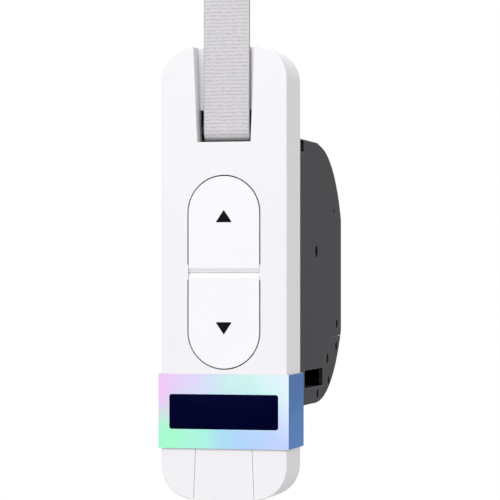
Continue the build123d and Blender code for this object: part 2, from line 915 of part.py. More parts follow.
def tooling_cuts(side):
    # The clip hole at the upper front corner and the small round hole in each side wall
    reach = sorted((side * (inner_side - over), side * (housing_half_width + over)))
    high = housing_top - clip_hole_wall
    clip = block(reach, (clip_hole_start_y, clip_hole_end_y), (high - clip_hole_height, high))
    return clip + cross_rod(tooling_hole, tooling_hole_radius, *reach)


def left_housing():
    wall = -inner_side - rooted
    reel_boss_end = -flange_outer_x - end_play
    extra = cross_rod(reel_centre, reel_boss_radius, wall, reel_boss_end)
    screw_places = inner_posts + service_screws + [side_screw]
    for place in screw_places:
        radius = slim_post_radius if place == service_screws[1] else post_radius
        extra += cross_rod(place, radius, wall, 0)
    extra += chassis_posts(-1)
    extra += saddle(-inner_side, True)
    extra += saddle(-inner_side, False)
    extra += saddle(gearbox_left_x - saddle_end - saddle_width, False)
    shell = mirrored(half_shell()) + (extra & mirrored(inside_shell()))
    post_end = gear_left_x - end_play
    shell += cross_rod(idler_centre, idler_post_radius, wall, post_end)
    shell -= cross_rod(reel_centre, reel_axle_radius + axle_fit, -inner_side, 0)
    shell -= cross_rod(idler_centre, pin_radius + press_gap, gear_left_x - pin_grip, gear_left_x)
    for place in screw_places:
        shell -= cross_rod(place, screw_radius, -screw_hole, over)
    seat = -inner_side + post_seat
    for place in inner_posts:
        shell -= cross_rod(place, screw_radius + screw_clearance, -inner_side, over)
        shell -= cross_rod(place, screw_recess_radius, -housing_half_width - over, seat)
    shell -= chassis_post_holes(-1)
    shell -= strap_gate(housing_wall + over, -over)
    return shell - tooling_cuts(-1)


def right_housing():
    wall = inner_side + rooted
    extra = cross_rod(reel_centre, reel_boss_radius, gear_right_x + 2 * end_play, wall)
    extra += cross_rod(encoder_centre, encoder_boss_radius, gear_right_x + encoder_boss_gap, wall)
    extra += cross_rod(idler_centre, encoder_boss_radius, outer_gear_right_x + end_play, wall)
    for place in inner_posts + [side_screw]:
        extra += cross_rod(place, post_radius, 0, wall)
    extra += chassis_posts(1)
    shell = half_shell() + (extra & inside_shell())
    shell -= from_side(service_band(0), -over, housing_half_width + over)
    ceiling = block(
        (terminal_right_x, wall),
        (band_start_y, window_end_y - ceiling_end_gap),
        (window_high, window_high + window_wall),
    )
    shell += ceiling - cross_rod(reel_centre, flange_radius + over, 0, housing_half_width)
    shell -= cross_rod(reel_centre, reel_axle_radius + axle_fit, 0, inner_side)
    shell -= cross_rod(reel_centre, reel_axle_hole, 0, housing_half_width + over)
    for place in (encoder_centre, idler_centre):
        shell -= cross_rod(place, pin_radius + press_gap, 0, inner_side)
    for place in inner_posts:
        shell -= cross_rod(place, screw_radius, -over, screw_hole)
    shell -= screw_way(side_screw)
    shell -= chassis_post_holes(1)
    shell -= strap_gate(housing_wall + over, -over)
    return shell - tooling_cuts(1)


def screw_way(place):
    # Clearance hole through a post, with the recess that sinks the screw's head below the side
    seat = housing_half_width - screw_recess
    hole = cross_rod(place, screw_radius + screw_clearance, -over, housing_half_width)
    return hole + cross_rod(place, screw_recess_radius, seat, housing_half_width + over)


def service_cover():
    wall = inner_side + rooted
    slim_end = gearbox_right_x + slim_post_over_gearbox
    first, slim, last = service_screws
    extra = cross_rod(first, post_radius, 0, wall) + cross_rod(last, post_radius, 0, wall)
    extra += cross_rod(slim, slim_post_radius, 0, slim_end + over)
    extra += cross_rod(slim, post_radius, slim_end, wall)
    extra += cross_rod(motor_centre, pinion_boss_radius, inner_side - pinion_boss_height, wall)
    extra += saddle(gearbox_right_x - saddle_end - saddle_width, False)
    floor = block(
        (terminal_right_x, wall),
        (band_start_y + seam_gap, window_end_y - over),
        (window_low - window_wall, window_low),
    )
    shell = half_shell() + (extra & inside_shell()) + floor
    shell &= from_side(service_band(seam_gap), -over, housing_half_width + over)
    window = block_outline(window_start_y, window_end_y, window_low, window_high + over)
    shell -= from_side(window, inner_side - over, housing_half_width + over)
    for place in service_screws:
        shell -= screw_way(place)
    bush_seat = inner_side - post_seat
    return shell - cross_rod(motor_centre, screw_recess_radius, bush_seat, housing_half_width + over)


def housing_screws():
    # Long screws from the right, and two from the left whose heads the photo's side doesn't show
    seat = housing_half_width - screw_recess
    shank_radius = screw_radius - thread_gap
    head = screw_head(screw_head_radius, screw_head_height)
    screws = [
        cross_rod(place, shank_radius, -screw_grip, seat) + Pos(seat, *place) * Rot(0, 90, 0) * head
        for place in service_screws + [side_screw]
    ]
    seat = -inner_side + post_seat
    screws += [
        cross_rod(place, shank_radius, seat, screw_grip) + Pos(seat, *place) * Rot(0, -90, 0) * head
        for place in inner_posts
    ]
    return screws


# Reel and gear train


def strap_reel():
    # Hub and left flange, with round windows that save weight
    reel = cross_rod(reel_centre, flange_radius, -flange_outer_x, -flange_inner_x)
    reel += cross_rod(reel_centre, hub_radius, -flange_outer_x, flange_inner_x)
    for step in range(window_holes):
        place = polar(reel_centre, window_hole_pitch, 360 / window_holes * step)
        reel -= cross_rod(place, window_hole_radius, -flange_outer_x - over, -flange_inner_x)
    return reel - cross_rod(reel_centre, bush_radius, -flange_outer_x - over, flange_inner_x + over)


def reel_gear():
    # Right flange with the ring of teeth outside it and a hub that runs on the housing's boss
    root_x = gear_left_x - rooted
    gear = cross_rod(reel_centre, flange_radius, flange_inner_x, gear_left_x)
    teeth = gear_outline(reel_module, reel_teeth, reel_tooth_angle)
    rim_inner = pitch_radius(reel_module, reel_teeth) - gear_rim
    gear += from_side(Pos(*reel_centre) * (teeth - Circle(rim_inner)), root_x, gear_right_x)
    gear += cross_rod(reel_centre, hub_boss_radius, root_x, gear_right_x)
    spoke = block_outline(hub_boss_radius - over, rim_inner + rooted, -gear_spoke / 2, gear_spoke / 2)
    for step in range(window_holes):
        placed = Pos(*reel_centre) * (Rot(0, 0, 360 / window_holes * step) * spoke)
        gear += from_side(placed, root_x, gear_right_x - gear_spoke_inset)
    return gear - cross_rod(reel_centre, bush_radius, flange_inner_x - over, gear_right_x + over)


def wound_strap():
    half = strap_width / 2
    roll = cross_rod(reel_centre, wound_radius, -half, half)
    return roll - cross_rod(reel_centre, hub_radius + thread_gap, -half - over, half + over)


def reel_bushes():
    bushes = []
    for start in (-flange_outer_x, gear_right_x - bush_length):
        end = start + bush_length
        bush = cross_rod(reel_centre, bush_radius - press_gap, start, end)
        bushes.append(bush - cross_rod(reel_centre, reel_axle_radius + axle_fit, start - over, end + over))
    return bushes


def reel_axle():
    reach = inner_side - axle_end_gap
    return cross_rod(reel_centre, reel_axle_radius, -reach, reach)


def gear_bore(centre):
    return cross_rod(centre, pin_radius + axle_fit, 0, housing_half_width)


def idler_gear():
    small = gear_outline(reel_module, idler_small_teeth, idler_angle)
    large = gear_outline(motor_module, idler_large_teeth, idler_angle)
    gear = from_side(Pos(*idler_centre) * small, gear_left_x + gear_start_gap, outer_gear_left_x)
    gear += from_side(Pos(*idler_centre) * large, outer_gear_left_x, outer_gear_right_x)
    recess = Circle(pitch_radius(motor_module, idler_large_teeth) - idler_recess_rim)
    recess -= Circle(pin_radius + idler_recess_rim)
    recess_left = outer_gear_right_x - idler_recess
    gear -= from_side(Pos(*idler_centre) * recess, recess_left, outer_gear_right_x + over)
    return gear - gear_bore(idler_centre)


def idler_axle():
    return cross_rod(idler_centre, pin_radius, gear_left_x - pin_grip, inner_side - axle_end_gap)


def motor_pinion():
    teeth = gear_outline(motor_module, pinion_teeth, pinion_angle)
    gear = from_side(Pos(*motor_centre) * teeth, outer_gear_left_x, outer_gear_right_x)
    return gear - cross_rod(motor_centre, pinion_shaft_radius + press_gap, 0, housing_half_width)


def pinion_shaft():
    end = inner_side + housing_wall - pinion_end_inset - rooted - axle_end_gap
    return cross_rod(motor_centre, pinion_shaft_radius, gearbox_right_x - pinion_shaft_grip, end)


def pinion_bush():
    right = inner_side + housing_wall - pinion_end_inset
    left = right - pinion_bush_length
    bush = cross_rod(motor_centre, screw_recess_radius - press_gap, left, right)
    return bush - cross_rod(motor_centre, pinion_shaft_radius + axle_fit, left - over, right + over)


def encoder_gear():
    teeth = gear_outline(reel_module, encoder_teeth, encoder_tooth_angle)
    gear = from_side(Pos(*encoder_centre) * teeth, gear_left_x + gear_start_gap, gear_right_x)
    return gear - gear_bore(encoder_centre)


def encoder_magnet():
    ring = cross_rod(encoder_centre, magnet_radius, gear_right_x, gear_right_x + magnet_thickness)
    return ring - gear_bore(encoder_centre)


def encoder_axle():
    return cross_rod(encoder_centre, pin_radius, gear_left_x, inner_side - axle_end_gap)


def encoder_board():
    left = gear_right_x + magnet_thickness + encoder_board_gap
    right = left + encoder_board_thickness
    y, z = encoder_centre
    half = encoder_board_size / 2
    board = block((left, right), (y - half, y + half), (z - half, z + half))
    return board - cross_rod(encoder_centre, encoder_boss_radius + thread_gap, left - over, right + over)


def motor_can():
    y, z = motor_centre
    can = cross_rod(motor_centre, motor_radius, motor_left_x, gearbox_left_x)
    reach = motor_radius + over
    flat = block_outline(y - reach, y + reach, z + motor_radius - motor_flat, z + reach)
    return can - from_side(flat, motor_left_x + motor_flat_inset, gearbox_left_x - motor_flat_inset)


def motor_gearbox():
    case = cross_rod(motor_centre, motor_radius, gearbox_left_x, gearbox_right_x)
    for step in range(gearbox_notches):
        notch = polar(motor_centre, motor_radius, 360 / gearbox_notches * step)
        case -= cross_rod(notch, gearbox_notch_radius, gearbox_left_x + over, gearbox_right_x - 2 * over)
    well = gearbox_right_x - pinion_shaft_grip - axle_end_gap
    return case - cross_rod(motor_centre, pinion_shaft_radius + axle_fit, well, gearbox_right_x + over)


# Supply, terminals and cable clamp


def supply_board():
    board = block(
        (supply_board_x, supply_parts_x),
        (supply_board_start_y, supply_board_end_y),
        (supply_board_low, supply_board_high),
    )
    around_post = post_radius + end_play
    return board - cross_rod(service_screws[2], around_post, supply_board_x - over, supply_parts_x + over)


def transformer():
    low = supply_board_low + transformer_above_board_end
    high = low + transformer_height
    core_right = supply_parts_x + transformer_depth
    core = block((supply_parts_x, core_right), (transformer_start_y, transformer_end_y), (low, high))
    coil = block(
        (supply_parts_x, core_right + coil_over_core),
        (transformer_start_y + coil_inset, transformer_end_y - coil_inset),
        (low + coil_inset, high - coil_inset),
    )
    return core + coil


def capacitors():
    right = supply_parts_x + capacitor_length
    return [cross_rod((y, capacitor_z), capacitor_radius, supply_parts_x, right) for y in capacitors_y]


def terminal_places(height):
    pitch = terminal_length / terminal_poles
    return [(terminal_y + pitch * (pole + 0.5), terminal_low + height) for pole in range(terminal_poles)]


def terminal_block():
    body = block(
        (terminal_left, terminal_right_x),
        (terminal_y, terminal_y + terminal_length),
        (terminal_low, terminal_low + terminal_height),
    )
    past = terminal_right_x + over
    for place in terminal_places(terminal_entry_height):
        body -= cross_rod(place, terminal_entry_radius, terminal_right_x - terminal_entry_depth, past)
    for place in terminal_places(terminal_screw_height):
        well_radius = terminal_screw_radius + screw_clearance / 2
        body -= cross_rod(place, well_radius, terminal_right_x - terminal_screw_well, past)
    return body


def terminal_screws():
    left = terminal_right_x - terminal_screw_well
    right = terminal_right_x - terminal_screw_inset
    screws = []
    for place in terminal_places(terminal_screw_height):
        slit = Pos(*place) * Rectangle(3 * terminal_screw_radius, screw_slit)
        screw = cross_rod(place, terminal_screw_radius, left, right)
        screws.append(screw - from_side(slit, right - screw_slit_depth, right + over))
    return screws


def clamp_screw_place():
    return (clamp_y + clamp_length / 2, (window_low + window_high) / 2)


def cable_clamp():
    bar = block(
        (clamp_right_x - clamp_height, clamp_right_x),
        (clamp_y, clamp_y + clamp_length),
        (window_low + clamp_gap, window_high - clamp_gap),
    )
    left = clamp_right_x - clamp_screw_grip
    return bar - cross_rod(clamp_screw_place(), small_screw_radius, left, clamp_right_x + over)


def clamp_screw():
    place = clamp_screw_place()
    shank = cross_rod(place, small_screw_radius - thread_gap, clamp_right_x - clamp_screw_grip, clamp_right_x)
    head = Rot(0, 90, 0) * screw_head(small_head_radius, small_head_height)
    return shank + Pos(clamp_right_x, *place) * head


# Card sleeve


def card_sleeve():
    # Closed band of card. At the back it passes just behind the wall plane, and a notch that is
    # open at the top lets it slide down past the housing.
    side = cover_half_width + sleeve_gap
    inner = block_outline(-side, side, front - sleeve_gap, sleeve_behind - sleeve_card)
    outer = offset(inner, sleeve_card, kind=Kind.INTERSECTION)
    band = extrude(Plane.XY.offset(sleeve_bottom) * (outer - inner), sleeve_height)
    half = housing_half_width + sleeve_notch_gap
    low = housing_bottom - sleeve_notch_gap
    return band - block((-half, half), (0, sleeve_behind + over), (low, sleeve_top + over))


nodes = {
    "front_cover": front_cover(),
    "up_key": key(1),
    "down_key": key(-1),
    "slot_insert": slot_insert(),
    "card_sleeve": card_sleeve(),
    "control_board": control_board(),
    "board_screws": board_screws(),
    "radio_module": radio_module(),
    "switch_bodies": [switch_body(switch_z), switch_body(-switch_z)],
    "up_plunger": switch_plunger(switch_z),
    "down_plunger": switch_plunger(-switch_z),
    "strap_run": strap_run(),
    "guide_roller": guide_roller(),
    "guide_roller_pin": guide_roller_pin(),
    "chassis_plate": chassis_plate(),
    "chassis_screws": chassis_screws(),
    "left_housing": left_housing(),
    "right_housing": right_housing(),
    "service_cover": service_cover(),
    "housing_screws": housing_screws(),
    "strap_reel": strap_reel(),
    "reel_gear": reel_gear(),
    "wound_strap": wound_strap(),
    "reel_bushes": reel_bushes(),
    "reel_axle": reel_axle(),
    "idler_gear": idler_gear(),
    "idler_axle": idler_axle(),
    "motor_pinion": motor_pinion(),
    "pinion_shaft": pinion_shaft(),
    "pinion_bush": pinion_bush(),
    "motor_can": motor_can(),
    "motor_gearbox": motor_gearbox(),
    "encoder_gear": encoder_gear(),
    "encoder_magnet": encoder_magnet(),
    "encoder_axle": encoder_axle(),
    "encoder_board": encoder_board(),
    "supply_board": supply_board(),
    "transformer": transformer(),
    "capacitors": capacitors(),
    "terminal_block": terminal_block(),
    "terminal_screws": terminal_screws(),
    "cable_clamp": cable_clamp(),
    "clamp_screw": clamp_screw(),
}

os.makedirs("parts", exist_ok=True)
for name, shape in nodes.items():
    solid = Compound(children=shape) if isinstance(shape, list) else shape
    export_step(solid, f"parts/{name}.step")
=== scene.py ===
"""Looks of the electric strap winder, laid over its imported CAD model.

The frame's origin is the middle of the front cover's back plane, X points right, Y into the wall
and Z up. Sizes in this file are millimetres, and turn into metres where Blender takes them.
"""

import logging
import math
from dataclasses import dataclass, field
from enum import Enum
from typing import Any

import bmesh
import bpy
import numpy as np
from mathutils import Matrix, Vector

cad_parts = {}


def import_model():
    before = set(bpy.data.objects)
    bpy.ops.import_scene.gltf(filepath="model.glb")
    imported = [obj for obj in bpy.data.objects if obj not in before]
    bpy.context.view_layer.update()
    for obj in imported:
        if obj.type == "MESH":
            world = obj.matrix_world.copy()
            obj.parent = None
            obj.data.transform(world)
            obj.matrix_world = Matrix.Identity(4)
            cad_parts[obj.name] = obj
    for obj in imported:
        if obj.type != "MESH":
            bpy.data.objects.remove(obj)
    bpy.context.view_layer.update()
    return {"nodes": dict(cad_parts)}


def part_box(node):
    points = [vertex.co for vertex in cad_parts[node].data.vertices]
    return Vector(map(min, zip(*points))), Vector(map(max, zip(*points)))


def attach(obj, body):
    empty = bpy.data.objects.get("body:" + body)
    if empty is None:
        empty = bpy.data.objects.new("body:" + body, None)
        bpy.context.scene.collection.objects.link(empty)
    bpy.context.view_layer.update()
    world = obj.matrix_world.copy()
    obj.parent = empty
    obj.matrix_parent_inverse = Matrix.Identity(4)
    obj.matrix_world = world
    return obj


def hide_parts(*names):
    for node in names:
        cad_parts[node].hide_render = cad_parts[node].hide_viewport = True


MM = 0.001
# Rays that a bevel or an occlusion node sends out at each point
RAYS = 6
# Scale at which the wave texture repeats once per unit of length
WAVE_PER_UNIT = math.pi / 10
# Edges that bend by more than this many degrees are drawn sharp
SHARP = 50
log = logging.getLogger("strap_winder")

Array = np.ndarray
Pair = tuple[float, float]
Place = tuple[float, float, float]
Tree = bpy.types.NodeTree
Node = bpy.types.Node
Socket = bpy.types.NodeSocket
Piece = bpy.types.Object


def linear(code: str) -> tuple[float, float, float, float]:
    """Turns an sRGB hex code into the linear colour that a shader takes.

    Args:
        code: six hex digits.

    Returns:
        Red, green, blue and a full alpha.
    """
    channels = np.frombuffer(bytes.fromhex(code), np.uint8) / 255
    low = channels / 12.92
    high = ((channels + 0.055) / 1.055) ** 2.4
    red, green, blue = np.where(channels <= 0.04045, low, high).tolist()
    return (red, green, blue, 1.0)


def emptied(owner: Any) -> Tree:
    """Clears a new material or world of the nodes that it comes with.

    Args:
        owner: the material or world.

    Returns:
        Its node tree.
    """
    owner.use_nodes = True
    owner.node_tree.nodes.clear()
    return owner.node_tree


def fill(node: Node, inputs: dict[Any, Any]) -> None:
    """Fills or links the inputs of a shader node.

    Args:
        node: the node.
        inputs: for each input, a plain value, a colour's hex code, a socket to link, or a node
            to link from the first output that it has in use.
    """
    for key, value in inputs.items():
        if isinstance(value, Node):
            value = next(output for output in value.outputs if output.enabled)
        if isinstance(value, Socket):
            node.id_data.links.new(value, node.inputs[key])
        else:
            node.inputs[key].default_value = linear(value) if isinstance(value, str) else value


def add(tree: Tree, kind: str, inputs: dict[Any, Any], **settings: Any) -> Node:
    """Adds a shader node with its settings and links.

    Args:
        tree: the node tree that takes it.
        kind: Blender's name of the node, without the ShaderNode prefix.
        inputs: what its inputs hold, as fill() takes it.
        settings: the node's own properties.

    Returns:
        The new node.
    """
    node = tree.nodes.new("ShaderNode" + kind)
    for name, value in settings.items():
        setattr(node, name, value)
    fill(node, inputs)
    return node


def shown(name: str, data: Any, place: Place = (0.0, 0.0, 0.0)) -> Piece:
    """Puts a mesh, a light or a camera into the scene.

    Args:
        name: the object's name.
        data: the mesh, light or camera.
        place: where it goes.

    Returns:
        The object.
    """
    thing = bpy.data.objects.new(name, data)
    thing.location = [value * MM for value in place]
    bpy.context.scene.collection.objects.link(thing)
    return thing


def ring_faces(count: int, around: int) -> tuple[Array, Array]:
    """Numbers the points of closed rings, and joins each ring to the next by four-sided faces.

    Args:
        count: how many rings there are.
        around: how many points each has.

    Returns:
        The numbers, shaped rings by points, and the faces, shaped faces by 4.
    """
    index = np.arange(count * around).reshape(count, around)
    beside = np.roll(index, -1, axis=1)
    quads = np.stack((index[:-1], beside[:-1], beside[1:], index[1:]), axis=-1)
    return index, quads.reshape(-1, 4)


def sweep(name: str, rings: Array, cloth: Array | None = None) -> Piece:
    """Joins closed rings of points, one after the other, into a tube with both ends capped.

    Args:
        name: the piece's name.
        rings: its points, shaped rings by points by 3.
        cloth: where each point lies on the flat material.

    Returns:
        The piece, at the origin, with its faces outwards.
    """
    index, quads = ring_faces(*rings.shape[:2])
    faces = quads.tolist() + [index[0, ::-1].tolist(), index[-1].tolist()]
    mesh = bpy.data.meshes.new(name)
    mesh.from_pydata((rings.reshape(-1, 3) * MM).tolist(), [], faces)
    if cloth is not None:
        layer = mesh.attributes.new("cloth", "FLOAT_VECTOR", "POINT")
        layer.data.foreach_set("vector", cloth.reshape(-1).astype(np.float32))
    shell = bmesh.new()
    shell.from_mesh(mesh)
    bmesh.ops.recalc_face_normals(shell, faces=shell.faces)
    shell.to_mesh(mesh)
    shell.free()
    mesh.polygons.foreach_set("use_smooth", np.ones(len(mesh.polygons), bool))
    mesh.set_sharp_from_angle(angle=math.radians(SHARP))
    return shown(name, mesh)


def rounded(corners: Array, radius: float, steps: int = 6) -> Array:
    """Rounds the corners of a convex outline.

    Each corner's arc lies about the point one radius inside both of its edges, and turns from the
    outward normal of the edge before it to that of the edge after it.

    Args:
        corners: anticlockwise corners, shaped corners by 2.
        radius: the radius of every corner.
        steps: how many edges an arc gets.

    Returns:
        The outline's points, shaped points by 2.
    """
    after = np.roll(corners, -1, axis=0) - corners
    angle = np.arctan2(-after[:, 0], after[:, 1])
    before = np.roll(angle, 1)
    turn = (angle - before) % (2 * math.pi)
    normals = np.stack((np.cos(angle), np.sin(angle)), axis=-1)
    previous = np.roll(normals, 1, axis=0)
    share = 1 + (normals * previous).sum(axis=-1, keepdims=True)
    centres = corners - radius * (normals + previous) / share
    sweep_angle = before[:, None] + turn[:, None] * np.linspace(0, 1, steps + 1)
    arcs = np.stack((np.cos(sweep_angle), np.sin(sweep_angle)), axis=-1)
    return (centres[:, None] + radius * arcs).reshape(-1, 2)


@dataclass(frozen=True)
class Finish:
    """A real material together with the way its surface was made.

    Attributes:
        name: common name, process and shade of the material.
        colour: its body colour, as an sRGB hex code.
        roughness: how far it scatters a reflection.
        ior: its index of refraction.
        shine: how much of that index's reflection its grain leaves, 0.5 for all of it.
    """

    name: str
    colour: str
    roughness: float
    ior: float = 1.5
    shine: float = field(default=0.5, kw_only=True)

    def material(self) -> bpy.types.Material:
        """Makes the Blender material, unless it was made before.

        Returns:
            The material.
        """
        known = bpy.data.materials.get(self.name)
        if known:
            return known
        material = bpy.data.materials.new(self.name)
        tree = emptied(material)
        values = {"Base Color": self.colour, "Roughness": self.roughness, "IOR": self.ior}
        surface = add(tree, "BsdfPrincipled", {**values, "Specular IOR Level": self.shine})
        self.lay(tree, surface, add(tree, "TexCoord", {}).outputs["Object"])
        add(tree, "OutputMaterial", {"Surface": surface})
        return material

    def lay(self, tree: Tree, surface: Node, place: Socket) -> None:
        """Adds the pattern of this kind of surface.

        Args:
            tree: the material's node tree.
            surface: its Principled shader.
            place: the point of the surface, in metres, in the piece's own frame.
        """
        raise NotImplementedError

    def overlay(
        self, tree: Tree, tint: Any, colour: str, value: Any, limits: Pair, most: float = 1.0, **kind: Any
    ) -> Node:
        """Lays a second colour over a first one where a value runs from one limit to the other.

        Args:
            tree: the material's node tree.
            tint: the first colour.
            colour: the second colour.
            value: what decides how much of it shows.
            limits: the value where it starts and where it is full.
            most: how much of it shows there.
            kind: the map range node's own properties.

        Returns:
            The mixed colour's node.
        """
        start, full = limits
        span = {"Value": value, "From Min": start, "From Max": full, "To Max": most}
        share = add(tree, "MapRange", span, **kind)
        return add(tree, "Mix", {0: share, 6: tint, 7: colour}, data_type="RGBA")

    def finish(
        self, tree: Tree, surface: Node, tint: Node, marks: Any,
        relief: float = 0.0, spread: float = 0.0, **bent: Node
    ) -> None:
        """Links a colour, and marks that stand out of the surface and break up its gloss.

        Args:
            tree: the material's node tree.
            surface: its Principled shader.
            tint: the colour.
            marks: the marks, from 0 to 1.
            relief: their height.
            spread: how far they move the roughness either way.
            bent: the normal that they stand on, where it isn't the surface's own.
        """
        looks = {"Base Color": tint}
        if relief:
            looks["Normal"] = add(tree, "Bump", {"Height": marks, "Distance": relief * MM, **bent})
        if spread:
            ends = {"To Min": self.roughness - spread, "To Max": self.roughness + spread}
            looks["Roughness"] = add(tree, "MapRange", {"Value": marks, **ends})
        fill(surface, looks)


@dataclass(frozen=True)
class Moulded(Finish):
    """Injection moulded plastic, coloured through.

    The mould's spark-eroded wall leaves a fine grain that breaks up reflections, and the melt leaves
    wide clouds that are a shade off. A painted highlight paler than the body lies on the rounded
    edges, and painted shade darkens gaps and bores.

    Attributes:
        cloud: colour of the clouds.
        grain: size of the grain.
        relief: height of the grain.
        cloud_size: size of the clouds.
        spread: how far the roughness strays either way.
        edge_highlight: colour of the painted highlight on the rounded edges.
        edge: width of the rounded edge, which bends the normal and carries the highlight, or 0 for none.
        highlight_bend: cosine of the bend of an edge where the highlight starts and where it is full.
        recess_shade: colour of the painted shade laid in gaps and bores.
        gap: width of the gaps that get it, or 0 for none.
        room: share of open air round a point where the painted shade starts and where it covers.
    """

    cloud: str = "ffffff"
    grain: float = 0.5
    relief: float = 0.01
    cloud_size: float = 35.0
    spread: float = 0.05
    edge_highlight: str = "ffffff"
    edge: float = 0.0
    highlight_bend: Pair = (0.985, 0.86)
    recess_shade: str = "2a292c"
    gap: float = 0.0
    room: Pair = (0.55, 0.15)

    def lay(self, tree: Tree, surface: Node, place: Socket) -> None:
        """Lays clouds, grain, a painted highlight on the edges and painted shade in gaps.

        Args:
            tree: the material's node tree.
            surface: its Principled shader.
            place: the place on the piece, in metres.
        """
        fine = {"Vector": place, "Scale": 1 / (self.grain * MM), "Detail": 3.0}
        wide = {"Vector": place, "Scale": 1 / (self.cloud_size * MM), "Detail": 2.0}
        grain = add(tree, "TexNoise", fine)
        clouds = add(tree, "TexNoise", wide)
        tint = add(tree, "Mix", {0: clouds, 6: self.colour, 7: self.cloud}, data_type="RGBA")
        bent = {}
        # Painted highlight: the colour turns paler where the rounded normal bends away from the true one
        if self.edge:
            bent["Normal"] = add(tree, "Bevel", {"Radius": self.edge * MM}, samples=RAYS)
            flat = add(tree, "NewGeometry", {}).outputs["True Normal"]
            along = add(tree, "VectorMath", {0: bent["Normal"], 1: flat}, operation="DOT_PRODUCT")
            tint = self.overlay(tree, tint, self.edge_highlight, along, self.highlight_bend)
        # Painted shade: the colour darkens where occlusion finds walls close round a point
        if self.gap:
            air = add(tree, "AmbientOcclusion", {"Distance": self.gap * MM}, samples=RAYS).outputs["AO"]
            tint = self.overlay(tree, tint, self.recess_shade, air, self.room)
        self.finish(tree, surface, tint, grain, self.relief, self.spread, **bent)


@dataclass(frozen=True)
class Metal(Finish):
    """Bare or plated metal with the marks of its making.

    The noise is stretched along the tool's path, so turned, drawn and tumbled parts catch the
    light in rings, streaks or an even frost.

    Attributes:
        lay_size: the marks' size along X, Y and Z.
        relief: their depth.
        stain: colour that thin patches of the surface turn to.
        spread: how far the roughness strays either way.
        patch_size: size of the stained patches.
        patch_limits: noise level where a patch starts and where it is full.
        patch_share: how much of the stain shows there.
    """

    lay_size: Place = (0.4, 0.4, 0.4)
    relief: float = 0.004
    stain: str = "808080"
    spread: float = 0.08
    patch_size: float = 6.0
    patch_limits: Pair = (0.5, 1.0)
    patch_share: float = 0.5

    def lay(self, tree: Tree, surface: Node, place: Socket) -> None:
        """Lays tool marks and stains.

        Args:
            tree: the material's node tree.
            surface: its Principled shader.
            place: the place on the piece, in metres.
        """
        surface.inputs["Metallic"].default_value = 1.0
        scale = tuple(1 / (size * MM) for size in self.lay_size)
        stretched = add(tree, "VectorMath", {0: place, 1: scale}, operation="MULTIPLY")
        marks = add(tree, "TexNoise", {"Vector": stretched, "Scale": 1.0, "Detail": 4.0})
        wide = {"Vector": place, "Scale": 1 / (self.patch_size * MM), "Detail": 3.0}
        patches = add(tree, "TexNoise", wide)
        tint = self.overlay(tree, self.colour, self.stain, patches, self.patch_limits, self.patch_share)
        self.finish(tree, surface, tint, marks, self.relief, self.spread)


